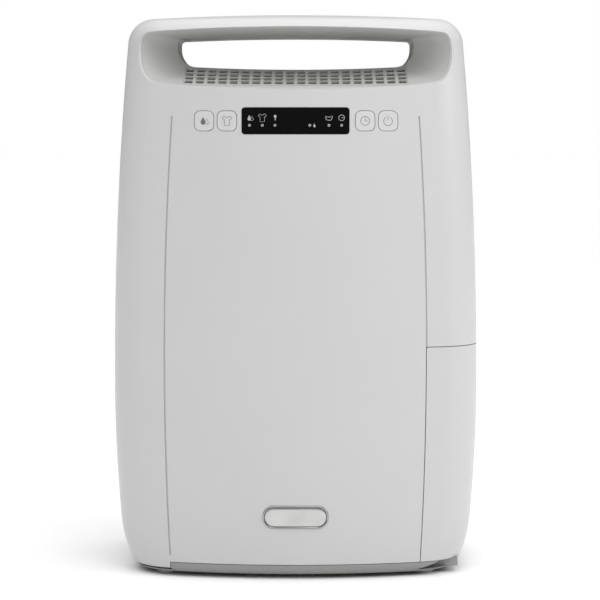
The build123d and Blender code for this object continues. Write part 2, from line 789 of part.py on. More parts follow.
with BuildPart() as filter_frame:
    add(rear_prism(filter_outline(0), filter_y))
    add(casing_block, mode=Mode.INTERSECT)
    add(filter_pocket.part, mode=Mode.SUBTRACT)
    with BuildSketch(at_y(filter_y)):
        with Locations((0, filter_mid_z)):
            with GridLocations(column_pitch, slot_pitch, slot_columns, slot_rows):
                SlotOverall(column_pitch - 6, slot_height)
    extrude(amount=-far, mode=Mode.SUBTRACT)
    add(pull_opening, mode=Mode.SUBTRACT)
    add(pull_cup.part)
keep(filter_frame, "filter_frame")

with BuildPart() as filter_mesh:
    with BuildSketch(at_y(filter_y + 1.2)):
        add(filter_outline(-frame_wall - 0.2))
    extrude(amount=0.8)
keep(filter_mesh, "filter_mesh")

# ---------------------------------------------------------------- coils
row_heights = [first_row_z + row * coil_row_pitch for row in range(coil_rows)]
fin_places = [-(coil_x - 2) + number * fin_pitch for number in range(fin_count)]
plate_edge = 1.0


def fins(middle_y):
    """The upright fins of one coil, each with its row of tube holes."""
    with BuildPart() as stack:
        for x in fin_places:
            with BuildSketch(Plane.YZ.offset(x - fin_thickness / 2)):
                with Locations((middle_y, (coil_low + coil_high) / 2)):
                    Rectangle(coil_thickness, coil_high - coil_low)
                with Locations(*((middle_y, z) for z in row_heights)):
                    Circle(tube_radius + tube_clearance, mode=Mode.SUBTRACT)
            extrude(amount=fin_thickness)
    return stack


def serpentine(middle_y):
    """One coil's tube, from its lowest row's left end to its highest row's left end."""
    points = [(-coil_x - 3, middle_y, row_heights[0])]
    for row, z in enumerate(row_heights):
        turn_x = bend_x if row % 2 == 0 else -bend_x
        if row < coil_rows - 1:
            points += [(turn_x, middle_y, z), (turn_x, middle_y, z + coil_row_pitch)]
    points.append((-coil_x - 3, middle_y, row_heights[-1]))
    return pipe(points, coil_row_pitch / 2 - 0.1, tube_radius)


for coil, coil_y in (("evaporator", evaporator_y), ("condenser", condenser_y)):
    coil_fins = fins(coil_y)
    keep(coil_fins, f"{coil}_fins")
    with BuildPart() as coil_tubes:
        add(serpentine(coil_y))
    keep(coil_tubes, f"{coil}_tubes")

tray_half = coil_x + 5
tray_wall = 1.8
tray_low = shelf_top + seat_gap
plate_low = tray_low + tray_wall + seat_gap

with BuildPart() as coil_end_plates:
    with BuildSketch(Plane.YZ.offset(-coil_x - end_plate)):
        with Locations(((condenser_y + evaporator_y) / 2, (plate_low + coil_high + plate_edge) / 2)):
            Rectangle(evaporator_y - condenser_y + coil_thickness - 2 * (tray_wall + seat_gap),
                      coil_high + plate_edge - plate_low)
        with Locations(*((y, z) for y in (condenser_y, evaporator_y) for z in row_heights)):
            Circle(tube_radius + tube_clearance, mode=Mode.SUBTRACT)
    extrude(amount=end_plate)
    mirror(about=Plane.YZ)
keep(coil_end_plates, "coil_end_plates")

with BuildPart() as drip_tray:
    tray_y = ((condenser_y - coil_thickness / 2) - 3, coil_back_y)
    add(block((-tray_half, tray_half), tray_y, (tray_low, tray_low + 9)))
    add(block((-tray_half + tray_wall, tray_half - tray_wall), (tray_y[0] + tray_wall, tray_y[1] - tray_wall),
              (tray_low + tray_wall, tray_low + 10)), mode=Mode.SUBTRACT)
    with BuildSketch(Plane.XY.offset(tray_low)):
        with Locations((drip_x, condenser_y)):
            Circle(7)
    extrude(amount=-(tray_low - tank_top - 7))
    with BuildSketch(Plane.XY.offset(tray_low + tray_wall)):
        with Locations((drip_x, condenser_y)):
            Circle(5)
        with Locations((drain_x, evaporator_y)):
            Circle(drain_radius - 1.4)
    extrude(amount=-40, mode=Mode.SUBTRACT)
keep(drip_tray, "drip_tray")

# ---------------------------------------------------------------- drain port and cord gland
with BuildPart() as drain_spout:
    add(pipe([(drain_x, evaporator_y, tray_low - 0.1), (drain_x, evaporator_y, port_z),
              (drain_x, rear_y - 6.5, port_z)], 9, drain_radius, drain_radius - 1.4))
keep(drain_spout, "drain_spout")

with BuildPart() as drain_plug:
    with BuildSketch(at_y(port_floor_y + 0.4)):
        with Locations(ports[0]):
            Circle(drain_radius + 3)
    extrude(amount=-12)
    fillet(drain_plug.faces().sort_by(Axis.Y)[-1].edges(), radius=2)
    with BuildSketch(at_y(port_floor_y + 0.4)):
        with Locations(ports[0]):
            Circle(drain_radius + seat_gap)
    extrude(amount=-11, mode=Mode.SUBTRACT)
keep(drain_plug, "drain_plug")

with BuildPart() as cord_gland:
    with BuildSketch(Plane(origin=(gland_x, 0, gland_z), x_dir=(1, 0, 0), z_dir=(0, 0, 1))):
        with BuildLine():
            Polyline((3.5, port_floor_y - 12), (gland_radius + 3, port_floor_y - 12),
                     (gland_radius + 3, port_floor_y - 2.7), (gland_radius, port_floor_y - 2.7),
                     (gland_radius, port_floor_y + 0.1), (gland_radius + 3.5, port_floor_y + 0.1),
                     (gland_radius + 3.5, port_floor_y + 3.5), (6, port_floor_y + 9),
                     (3.5, port_floor_y + 9), (3.5, port_floor_y - 12))
        make_face()
    revolve(axis=Axis((gland_x, 0, gland_z), (0, 1, 0)))
keep(cord_gland, "cord_gland")

# ---------------------------------------------------------------- compressor
at_compressor = Plane(origin=(compressor_x, compressor_y, 0), x_dir=(1, 0, 0), z_dir=(0, -1, 0))
compressor_axis = Axis((compressor_x, compressor_y, 0), (0, 0, 1))
stator_low = compressor_low + 70
stator_high = compressor_high - 32
rotor_radius = 25.0
rotor_gap = 0.5
stator_radius = compressor_radius - compressor_wall - 0.2
pump_low = compressor_low + 22
pump_high = compressor_low + 52
foot_sheet = 3.0
pipe_radius = 3.0
discharge_y = compressor_y - 18


def can(radius, low, high, dome):
    """A closed can with domed ends, turned about the compressor's axis."""
    with BuildPart() as solid:
        with BuildSketch(at_compressor):
            with BuildLine():
                Line((0, low), (0, high))
                Line((radius, low + dome), (radius, high - dome))
                EllipticalCenterArc((0, low + dome), radius, dome, 270, arc_size=90)
                EllipticalCenterArc((0, high - dome), radius, dome, 0, arc_size=90)
            make_face()
        revolve(axis=compressor_axis)
    return solid.part


dome_height = 20.0

with BuildPart() as compressor_shell:
    with BuildSketch(Plane.XY.offset(compressor_low - 3)):
        with BuildLine():
            Polyline(*compressor_feet, close=True)
        make_face()
        offset(amount=12)
        with Locations(*compressor_feet):
            Circle(4.2, mode=Mode.SUBTRACT)
    extrude(amount=foot_sheet)
    add(can(compressor_radius, compressor_low - 1, compressor_high, dome_height))
    add(can(compressor_radius - compressor_wall, compressor_low + compressor_wall,
            compressor_high - compressor_wall, dome_height), mode=Mode.SUBTRACT)
    with BuildSketch(Plane.XY.offset(compressor_high - 30)):
        with Locations((compressor_x, discharge_y)):
            Circle(pipe_radius + seat_gap)
    extrude(amount=40, mode=Mode.SUBTRACT)
keep(compressor_shell, "compressor_shell")

compressor_middle = (compressor_x, compressor_y)

with BuildPart() as compressor_stator:
    with BuildSketch(Plane.XY.offset(stator_low)):
        with Locations(compressor_middle):
            Circle(stator_radius)
            Circle(rotor_radius + rotor_gap, mode=Mode.SUBTRACT)
            with PolarLocations(rotor_radius + rotor_gap + 5, 12):
                Rectangle(8, 3, mode=Mode.SUBTRACT)
    extrude(amount=stator_high - stator_low)
keep(compressor_stator, "compressor_stator")

with BuildPart() as compressor_pump:
    with BuildSketch(Plane.XY.offset(pump_low)):
        with Locations(compressor_middle):
            Circle(stator_radius)
            Circle(shaft_radius + running_clearance, mode=Mode.SUBTRACT)
    extrude(amount=pump_high - pump_low)
    with BuildSketch(Plane.XY.offset(pump_high)):
        with Locations(compressor_middle):
            Circle(shaft_radius + 8)
            Circle(shaft_radius + running_clearance, mode=Mode.SUBTRACT)
    extrude(amount=10)
keep(compressor_pump, "compressor_pump")

with BuildPart() as compressor_rotor:
    with BuildSketch(Plane.XY.offset(stator_low - 3)):
        with Locations(compressor_middle):
            Circle(rotor_radius)
    extrude(amount=stator_high - stator_low + 6)
    with BuildSketch(Plane.XY.offset(pump_low - 4)):
        with Locations(compressor_middle):
            Circle(shaft_radius)
    extrude(amount=stator_high - pump_low + 10)
    with BuildSketch(Plane.XY.offset(stator_high + 3)):
        with Locations((compressor_x + 12, compressor_y)):
            RectangleRounded(16, 24, 3)
    extrude(amount=4)
keep(compressor_rotor, "compressor_rotor")

tank_side_x = compressor_x + compressor_radius + 20
accumulator_radius = 15.0

with BuildPart() as accumulator:
    with BuildSketch(Plane.XY.offset(62)):
        with Locations((tank_side_x, compressor_y)):
            Circle(accumulator_radius)
    extrude(amount=98)
    fillet(accumulator.edges().filter_by(GeomType.CIRCLE), radius=8)
    add(pipe([(tank_side_x, compressor_y, 64), (tank_side_x, compressor_y, 47),
              (compressor_x + compressor_radius - 0.4, compressor_y, 47)], 8, 4))
    add(block((compressor_x + compressor_radius - 0.5, tank_side_x), (compressor_y - 4, compressor_y + 4),
              (120, 130)))
    add(can(compressor_radius, compressor_low - 1, compressor_high, dome_height), mode=Mode.SUBTRACT)
keep(accumulator, "accumulator")

with BuildPart() as terminal_cover:
    add(block((compressor_x - 17, compressor_x + 17), (compressor_y + 14, compressor_y + 36),
              (compressor_high - 16, compressor_high + 8)))
    fillet(terminal_cover.edges().filter_by(Axis.Z), radius=4)
    add(can(compressor_radius + 0.1, compressor_low - 1, compressor_high + 0.1, dome_height),
        mode=Mode.SUBTRACT)
keep(terminal_cover, "terminal_cover")

boss_top = base_floor + 6

with BuildPart() as compressor_grommets:
    with BuildSketch(Plane.XY.offset(boss_top + 0.1)):
        with Locations(*compressor_feet):
            Circle(9.5)
            Circle(3.2, mode=Mode.SUBTRACT)
    extrude(amount=compressor_low - 3 - boss_top - 0.2)
keep(compressor_grommets, "compressor_grommets")

with BuildPart() as compressor_bolts:
    with BuildSketch(Plane.XY.offset(boss_top + 0.2)):
        with Locations(*compressor_feet):
            Circle(3)
    extrude(amount=compressor_low + 4 - boss_top)
    with BuildSketch(Plane.XY.offset(compressor_low + 0.2)):
        with Locations(*compressor_feet):
            RegularPolygon(6, 6)
    extrude(amount=4.2)
keep(compressor_bolts, "compressor_bolts")

# ---------------------------------------------------------------- refrigerant pipes
pipe_bend = 9.0
coil_end_x = -coil_x - 3.1
discharge_x = pipe_x + 6
dryer_z = (first_row_z + 62, first_row_z + 112)

routes = {
    "suction_pipe": ([(tank_side_x, compressor_y, 160.1), (tank_side_x, compressor_y, shelf_z - 12),
                      (pipe_x, compressor_y, shelf_z - 12), (pipe_x, evaporator_y, shelf_z - 12),
                      (pipe_x, evaporator_y, first_row_z), (coil_end_x, evaporator_y, first_row_z)],
                     pipe_bend, tube_radius),
    "discharge_pipe": ([(compressor_x, discharge_y, compressor_high - 8),
                        (compressor_x, discharge_y, shelf_z - 6), (discharge_x, discharge_y, shelf_z - 6),
                        (discharge_x, discharge_y, last_row_z), (discharge_x, condenser_y, last_row_z),
                        (coil_end_x, condenser_y, last_row_z)], pipe_bend, pipe_radius),
    "liquid_pipe": ([(coil_end_x, condenser_y, first_row_z), (pipe_x, condenser_y, first_row_z),
                     (pipe_x, condenser_y, dryer_z[0] - 0.1)], pipe_bend, pipe_radius),
    "capillary_tube": ([(pipe_x, condenser_y, dryer_z[1] + 0.1), (pipe_x, condenser_y, dryer_z[1] + 26),
                        (pipe_x, evaporator_y, dryer_z[1] + 26), (pipe_x, evaporator_y, last_row_z),
                        (coil_end_x, evaporator_y, last_row_z)], pipe_bend, 1.4),
}

for pipe_name, (points, bend, radius) in routes.items():
    with BuildPart() as refrigerant_pipe:
        add(pipe(points, bend, radius))
    keep(refrigerant_pipe, pipe_name)

with BuildPart() as filter_dryer:
    with BuildSketch(Plane.XY.offset(dryer_z[0])):
        with Locations((pipe_x, condenser_y)):
            Circle(7)
    extrude(amount=dryer_z[1] - dryer_z[0])
    fillet(filter_dryer.edges().filter_by(GeomType.CIRCLE), radius=4)
keep(filter_dryer, "filter_dryer")

# ---------------------------------------------------------------- fan
inlet_radius = 58.0
motor_hole = 40.0
duct_low = fan_z + 62
duct_top = lip_bottom + 14
duct_half = grille_half_x
duct_y = (grille_front_y + 2, grille_back_y - 1)
blade_radius = wheel_radius - 6.5


def scroll_form(shrink):
    """The scroll's round body and the duct that leans forward to the outlet grille."""
    with BuildPart() as form:
        with BuildSketch(at_y(scroll_back_y - shrink)):
            with Locations((0, fan_z)):
                Circle(scroll_radius - shrink)
            with Locations((0, (fan_z + duct_low) / 2)):
                Rectangle(2 * (scroll_radius - shrink), duct_low - fan_z)
        extrude(amount=scroll_back_y - scroll_front_y - 2 * shrink)
        scroll_mid_y = (scroll_front_y + scroll_back_y) / 2
        with BuildSketch(Plane.XY.offset(duct_low)):
            with Locations((0, scroll_mid_y)):
                Rectangle(2 * (scroll_radius - shrink), scroll_back_y - scroll_front_y - 2 * shrink)
        with BuildSketch(Plane.XY.offset(duct_top)):
            with Locations((0, (duct_y[0] + duct_y[1]) / 2)):
                Rectangle(2 * (duct_half - shrink), duct_y[1] - duct_y[0] - 2 * shrink)
        loft(ruled=True)
    return form.part


with BuildPart() as fan_scroll:
    add(scroll_form(0))
    add(scroll_form(scroll_wall), mode=Mode.SUBTRACT)
    add(handle_void(liner_wall + 0.3), mode=Mode.SUBTRACT)
    with BuildSketch(at_y(scroll_back_y + 1)):
        with Locations((0, fan_z)):
            Circle(inlet_radius)
    extrude(amount=scroll_wall + 2, mode=Mode.SUBTRACT)
    with BuildSketch(at_y(scroll_front_y + scroll_wall + 1)):
        with Locations((0, fan_z)):
            Circle(motor_hole)
    extrude(amount=scroll_wall + 2, mode=Mode.SUBTRACT)
keep(fan_scroll, "fan_scroll")

shroud_back_y = condenser_y - coil_thickness / 2 - seat_gap
shroud_front_y = scroll_back_y + 0.2


def shroud_form(shrink):
    """A funnel from the condenser's face to the fan's inlet."""
    with BuildPart() as form:
        with BuildSketch(at_y(shroud_back_y)):
            with Locations((0, (coil_low + coil_high) / 2)):
                RectangleRounded(2 * (coil_x - shrink), coil_high - coil_low - 2 * shrink, 12)
        with BuildSketch(at_y(shroud_front_y)):
            with Locations((0, fan_z)):
                RectangleRounded(2 * (inlet_radius + 2 - shrink), 2 * (inlet_radius + 2 - shrink),
                                 inlet_radius + 1.9 - shrink)
        loft(ruled=True)
    return form.part


with BuildPart() as fan_shroud:
    add(shroud_form(0))
    add(shroud_form(scroll_wall), mode=Mode.SUBTRACT)
keep(fan_shroud, "fan_shroud")

with BuildPart() as fan_wheel:
    with BuildSketch(at_y(wheel_front_y + 2)):
        with Locations((0, fan_z)):
            Circle(wheel_radius)
            Circle(motor_shaft_radius + 0.02, mode=Mode.SUBTRACT)
    extrude(amount=2)
    with BuildSketch(at_y(wheel_front_y + 20)):
        with Locations((0, fan_z)):
            Circle(11)
            Circle(motor_shaft_radius + 0.02, mode=Mode.SUBTRACT)
    extrude(amount=18)
    with BuildSketch(at_y(wheel_front_y + wheel_width)):
        with Locations((0, fan_z)):
            with PolarLocations(blade_radius, blade_count):
                Rectangle(12, 1.4, rotation=25)
    extrude(amount=wheel_width - 1)
    with BuildSketch(at_y(wheel_front_y + wheel_width)):
        with Locations((0, fan_z)):
            Circle(wheel_radius)
            Circle(wheel_radius - 5, mode=Mode.SUBTRACT)
    extrude(amount=3)
keep(fan_wheel, "fan_wheel")

motor_front_y = motor_back_y - 32
shaft_end_y = wheel_front_y + 22

with BuildPart() as motor_shaft:
    with BuildSketch(at_y(shaft_end_y)):
        with Locations((0, fan_z)):
            Circle(motor_shaft_radius)
    extrude(amount=shaft_end_y - motor_front_y - 6)
keep(motor_shaft, "motor_shaft")

with BuildPart() as fan_motor:
    with BuildSketch(at_y(motor_back_y)):
        with Locations((0, fan_z)):
            Circle(motor_radius)
    extrude(amount=motor_back_y - motor_front_y)
    fillet(fan_motor.edges().filter_by(GeomType.CIRCLE), radius=5)
    with BuildSketch(at_y(motor_back_y + 1)):
        with Locations((0, fan_z)):
            Circle(motor_shaft_radius + running_clearance)
    extrude(amount=motor_back_y - motor_front_y - 4, mode=Mode.SUBTRACT)
keep(fan_motor, "fan_motor")

with BuildPart() as motor_mount:
    with BuildSketch(at_y(scroll_front_y - 0.2)):
        with Locations((0, fan_z)):
            Circle(motor_hole + 12)
            Circle(motor_radius - 6, mode=Mode.SUBTRACT)
            with PolarLocations(motor_hole + 7, 4, start_angle=45):
                Circle(1.7, mode=Mode.SUBTRACT)
    extrude(amount=2.9)
    with BuildSketch(at_y(scroll_front_y - 3)):
        with Locations((0, fan_z)):
            Circle(motor_radius + 3)
            Circle(motor_radius + 0.2, mode=Mode.SUBTRACT)
    extrude(amount=8)
keep(motor_mount, "motor_mount")

# ---------------------------------------------------------------- electronics and leads
box_x = (pipe_x - 8, pipe_x + 42)
box_y = (front_y + 31.5, left_shelf_y - 1)
box_z = (shelf_top + seat_gap, shelf_top + 105)
box_wall = 2.0

with BuildPart() as electronics_box:
    add(block(box_x, box_y, box_z))
    fillet(electronics_box.edges().filter_by(Axis.Z), radius=4)
    add(block((box_x[0] + box_wall, box_x[1] - box_wall), (box_y[0] + box_wall, box_y[1] - box_wall),
              (box_z[0] + box_wall, box_z[1] - box_wall)), mode=Mode.SUBTRACT)
    add(inner_room, mode=Mode.INTERSECT)
keep(electronics_box, "electronics_box")

with BuildPart() as power_board:
    board_x = box_x[0] + 17
    board_span_y = (box_y[0] + box_wall + 0.5, box_y[1] - box_wall - 0.5)
    add(block((board_x, board_x + board_thickness), board_span_y,
              (box_z[0] + box_wall + 0.2, box_z[1] - box_wall - 0.5)))
    component_y = sum(board_span_y) / 2
    for height, width, z in ((14, 18, 18), (18, 22, 46), (12, 16, 74)):
        add(block((board_x + board_thickness, board_x + board_thickness + height),
                  (component_y - width / 2, component_y + width / 2), (box_z[0] + z, box_z[0] + z + 18)))
keep(power_board, "power_board")

with BuildPart() as run_capacitor:
    with BuildSketch(Plane.XY.offset(base_floor + 0.2)):
        with Locations(capacitor_place):
            Circle(capacitor_radius)
    extrude(amount=72)
    fillet(run_capacitor.edges().filter_by(GeomType.CIRCLE), radius=2)
keep(run_capacitor, "run_capacitor")

with BuildPart() as humidity_sensor:
    add(block((coil_x + end_plate + 0.2, coil_x + end_plate + 5), (evaporator_y - 7, evaporator_y + 7),
              (row_heights[1] + 6, row_heights[2] - 6)))
    chamfer(humidity_sensor.faces().sort_by(Axis.X)[-1].edges(), length=1)
keep(humidity_sensor, "humidity_sensor")

lead_radius = 2.5
mains_x = pipe_x + 18
lead_routes = {
    "mains_lead": [(gland_x, port_floor_y - 12.1, gland_z), (gland_x, coil_back_y - 20, gland_z),
                   (gland_x, coil_back_y - 20, shelf_z - 26), (mains_x, coil_back_y - 20, shelf_z - 26),
                   (mains_x, coil_back_y - 20, shelf_z + 10), (mains_x, box_y[1] + 0.1, shelf_z + 10)],
    "compressor_lead": [(compressor_x - 17.1, compressor_y + 22, compressor_high - 2),
                        (lead_hole[0], compressor_y + 22, compressor_high - 2),
                        (lead_hole[0], lead_hole[1], compressor_high - 2),
                        (lead_hole[0], lead_hole[1], box_z[0] - 0.1)],
    "motor_lead": [(-motor_radius - 0.1, motor_back_y - 16, fan_z), (-motor_radius - 28, motor_back_y - 16, fan_z),
                   (-motor_radius - 28, motor_back_y - 6, fan_z - 26), (box_x[1] + 0.1, motor_back_y - 6, fan_z - 26)],
}

for lead_name, points in lead_routes.items():
    with BuildPart() as lead:
        add(pipe(points, 8, lead_radius if lead_name == "mains_lead" else 1.8))
    keep(lead, lead_name)
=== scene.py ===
import math

import bmesh
import bpy
import numpy as np
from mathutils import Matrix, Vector
from mathutils.bvhtree import BVHTree


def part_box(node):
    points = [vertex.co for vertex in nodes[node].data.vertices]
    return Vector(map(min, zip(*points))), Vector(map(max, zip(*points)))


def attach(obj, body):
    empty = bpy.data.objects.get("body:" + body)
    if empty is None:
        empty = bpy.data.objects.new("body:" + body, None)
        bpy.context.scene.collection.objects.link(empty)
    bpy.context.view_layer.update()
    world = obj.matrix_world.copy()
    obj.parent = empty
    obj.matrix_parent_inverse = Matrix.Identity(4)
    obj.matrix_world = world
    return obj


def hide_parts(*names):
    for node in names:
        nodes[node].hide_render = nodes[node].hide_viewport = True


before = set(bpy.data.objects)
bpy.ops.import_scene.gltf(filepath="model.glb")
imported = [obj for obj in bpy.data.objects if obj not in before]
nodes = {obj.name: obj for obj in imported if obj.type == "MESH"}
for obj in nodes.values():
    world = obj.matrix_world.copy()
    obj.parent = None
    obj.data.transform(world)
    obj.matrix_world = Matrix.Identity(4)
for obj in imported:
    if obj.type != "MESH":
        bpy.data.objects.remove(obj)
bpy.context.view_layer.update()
MM = 0.001

# ---------------------------------------------------------------- camera, floor and light
# A small product studio: a matt white floor that runs out to the horizon, an even white
# surround, and soft boxes above, over the top, to the right and to the left of the machine.
camera_data = bpy.data.cameras.new("studio_camera")
camera_data.lens = 128.8
camera_data.sensor_width = 36
camera = bpy.data.objects.new("studio_camera", camera_data)
camera.location = (0.004, -2.0, 0.400)
camera_tilt_down = 4.475
camera.rotation_euler = (math.radians(90 - camera_tilt_down), 0, 0)
bpy.context.collection.objects.link(camera)
bpy.context.scene.camera = camera
bpy.context.scene.view_settings.view_transform = "Standard"

floor_reach = 40.0
floor_mesh = bpy.data.meshes.new("studio_floor")
floor_mesh.from_pydata(
    [(-floor_reach, -floor_reach, 0), (floor_reach, -floor_reach, 0),
     (floor_reach, floor_reach, 0), (-floor_reach, floor_reach, 0)], [], [(0, 1, 2, 3)])
floor = bpy.data.objects.new("studio_floor", floor_mesh)
bpy.context.collection.objects.link(floor)

floor_paint = bpy.data.materials.new("studio_floor_paint")
floor_paint.use_nodes = True
paint_nodes = floor_paint.node_tree.nodes
paint_links = floor_paint.node_tree.links
paint_shader = paint_nodes["Principled BSDF"]
paint_shader.inputs["Roughness"].default_value = 0.9
paint_shader.inputs["Specular IOR Level"].default_value = 0.1
paint_place = paint_nodes.new("ShaderNodeTexCoord")
paint_cloud = paint_nodes.new("ShaderNodeTexNoise")
paint_cloud.inputs["Scale"].default_value = 1.5
paint_tone = paint_nodes.new("ShaderNodeValToRGB")
paint_tone.color_ramp.elements[0].color = (0.94, 0.94, 0.94, 1)
paint_tone.color_ramp.elements[1].color = (0.96, 0.96, 0.96, 1)
paint_links.new(paint_place.outputs["Object"], paint_cloud.inputs["Vector"])
paint_links.new(paint_cloud.outputs["Fac"], paint_tone.inputs["Fac"])
paint_links.new(paint_tone.outputs["Color"], paint_shader.inputs["Base Color"])
floor_mesh.materials.append(floor_paint)

surround = bpy.data.worlds.new("studio_surround")
surround.use_nodes = True
bpy.context.scene.world = surround
sky_nodes = surround.node_tree.nodes
sky_links = surround.node_tree.links
sky_light = sky_nodes["Background"]
sky_place = sky_nodes.new("ShaderNodeTexCoord")
sky_split = sky_nodes.new("ShaderNodeSeparateXYZ")
sky_rise = sky_nodes.new("ShaderNodeMath")
sky_rise.operation = "POWER"
sky_rise.use_clamp = True
sky_rise.inputs[1].default_value = 3.0
sky_height = sky_nodes.new("ShaderNodeMapRange")
sky_height.inputs["To Min"].default_value = 0.20
sky_height.inputs["To Max"].default_value = 2.4
sky_seen = sky_nodes.new("ShaderNodeBackground")
sky_seen.inputs["Color"].default_value = (1, 1, 1, 1)
sky_seen.inputs["Strength"].default_value = 1.0
sky_path = sky_nodes.new("ShaderNodeLightPath")
sky_join = sky_nodes.new("ShaderNodeMixShader")
sky_out = sky_nodes["World Output"]
sky_light.inputs["Color"].default_value = (1, 1, 1, 1)
sky_links.new(sky_place.outputs["Generated"], sky_split.inputs["Vector"])
sky_links.new(sky_split.outputs["Z"], sky_rise.inputs[0])
sky_links.new(sky_rise.outputs["Value"], sky_height.inputs["Value"])
sky_links.new(sky_height.outputs["Result"], sky_light.inputs["Strength"])
sky_links.new(sky_path.outputs["Is Camera Ray"], sky_join.inputs["Fac"])
sky_links.new(sky_light.outputs["Background"], sky_join.inputs[1])
sky_links.new(sky_seen.outputs["Background"], sky_join.inputs[2])
sky_links.new(sky_join.outputs["Shader"], sky_out.inputs["Surface"])


def soft_box(name, place, aim, width, height, power):
    """A studio soft box at place, turned towards aim."""
    light = bpy.data.lights.new(name, "AREA")
    light.shape = "RECTANGLE"
    light.size = width
    light.size_y = height
    light.energy = power
    lamp = bpy.data.objects.new(name, light)
    lamp.location = place
    lamp.rotation_euler = (Vector(aim) - Vector(place)).to_track_quat("-Z", "Y").to_euler()
    bpy.context.collection.objects.link(lamp)


soft_box("box_above", (0.5, -1.3, 1.5), (0, 0, 0.40), 1.0, 0.8, 5)
soft_box("box_right", (2.2, -0.7, 1.3), (0.1, 0, 0.4), 0.7, 0.9, 13)
soft_box("box_left", (-1.9, -1.3, 0.7), (0, 0, 0.25), 0.3, 1.8, 1.6)
soft_box("box_top", (0.15, -0.40, 1.35), (0, -0.06, 0.46), 0.7, 0.25, 0.9)

# ---------------------------------------------------------------- base tray and feet
# The tray that carries the whole machine is moulded in grey polypropylene with a fine spark
# grain. Four soft rubber pads are pushed into sockets under it.


def moulded(name, colour, roughness, grain, depth, tone=0.035, edge=0.35, rubbed=0.12):
    """A moulded finish: its colour drifts a little by tone, its grain is grain wide and depth
    deep in millimetres, and its corners are rounded by edge and rubbed lighter there."""
    finish = bpy.data.materials.new(name)
    finish.use_nodes = True
    tree = finish.node_tree.nodes
    links = finish.node_tree.links
    shader = tree["Principled BSDF"]
    place = tree.new("ShaderNodeTexCoord")

    drift = tree.new("ShaderNodeTexNoise")
    drift.inputs["Scale"].default_value = 9
    drift.inputs["Detail"].default_value = 3
    links.new(place.outputs["Object"], drift.inputs["Vector"])
    tint = tree.new("ShaderNodeValToRGB")
    tint.color_ramp.elements[0].position = 0.3
    tint.color_ramp.elements[1].position = 0.7
    tint.color_ramp.elements[0].color = (*(c * (1 - tone) for c in colour), 1)
    tint.color_ramp.elements[1].color = (*(min(1.0, c * (1 + tone)) for c in colour), 1)
    links.new(drift.outputs["Fac"], tint.inputs["Fac"])

    corner = tree.new("ShaderNodeBevel")
    corner.samples = 4
    corner.inputs["Radius"].default_value = edge * MM
    flat = tree.new("ShaderNodeNewGeometry")
    turned = tree.new("ShaderNodeVectorMath")
    turned.operation = "DOT_PRODUCT"
    links.new(corner.outputs["Normal"], turned.inputs[0])
    links.new(flat.outputs["Normal"], turned.inputs[1])
    wear = tree.new("ShaderNodeMapRange")
    wear.inputs["From Min"].default_value = 0.995
    wear.inputs["From Max"].default_value = 0.8
    wear.inputs["To Max"].default_value = rubbed
    links.new(turned.outputs["Value"], wear.inputs["Value"])
    skin = tree.new("ShaderNodeMix")
    skin.data_type = "RGBA"
    skin.inputs["B"].default_value = (*(min(1.0, c * 1.25 + 0.02) for c in colour), 1)
    links.new(wear.outputs["Result"], skin.inputs["Factor"])
    links.new(tint.outputs["Color"], skin.inputs["A"])
    links.new(skin.outputs["Result"], shader.inputs["Base Color"])

    handled = tree.new("ShaderNodeTexNoise")
    handled.inputs["Scale"].default_value = 38
    handled.inputs["Detail"].default_value = 5
    links.new(place.outputs["Object"], handled.inputs["Vector"])
    sheen = tree.new("ShaderNodeMapRange")
    sheen.inputs["From Min"].default_value = 0.3
    sheen.inputs["From Max"].default_value = 0.7
    sheen.inputs["To Min"].default_value = roughness * 0.9
    sheen.inputs["To Max"].default_value = min(1.0, roughness * 1.12)
    links.new(handled.outputs["Fac"], sheen.inputs["Value"])
    links.new(sheen.outputs["Result"], shader.inputs["Roughness"])

    spark = tree.new("ShaderNodeTexNoise")
    spark.inputs["Scale"].default_value = 1 / (grain * MM)
    spark.inputs["Detail"].default_value = 2
    links.new(place.outputs["Object"], spark.inputs["Vector"])
    relief = tree.new("ShaderNodeBump")
    relief.inputs["Distance"].default_value = depth * MM
    links.new(spark.outputs["Fac"], relief.inputs["Height"])
    links.new(corner.outputs["Normal"], relief.inputs["Normal"])
    links.new(relief.outputs["Normal"], shader.inputs["Normal"])
    return finish


def finish_nodes(finish, *names):
    """Gives these CAD nodes that finish all over."""
    for name in names:
        data = nodes[name].data
        if len(data.materials) == 0:
            data.materials.append(finish)
        for index in range(len(data.materials)):
            data.materials[index] = finish


tray_grey = moulded("tray_grey", (0.30, 0.30, 0.295), 0.55, 0.5, 0.03)
pad_rubber = moulded("pad_rubber", (0.52, 0.52, 0.50), 0.8, 0.3, 0.03, tone=0.08, edge=0.5)
finish_nodes(tray_grey, "base_tray")
finish_nodes(pad_rubber, "feet")

# ---------------------------------------------------------------- compressor
# A rotary compressor in a deep-drawn steel can, electrically welded and stoved black. It
# stands on rubber grommets held by shouldered bolts, with its suction can beside it.


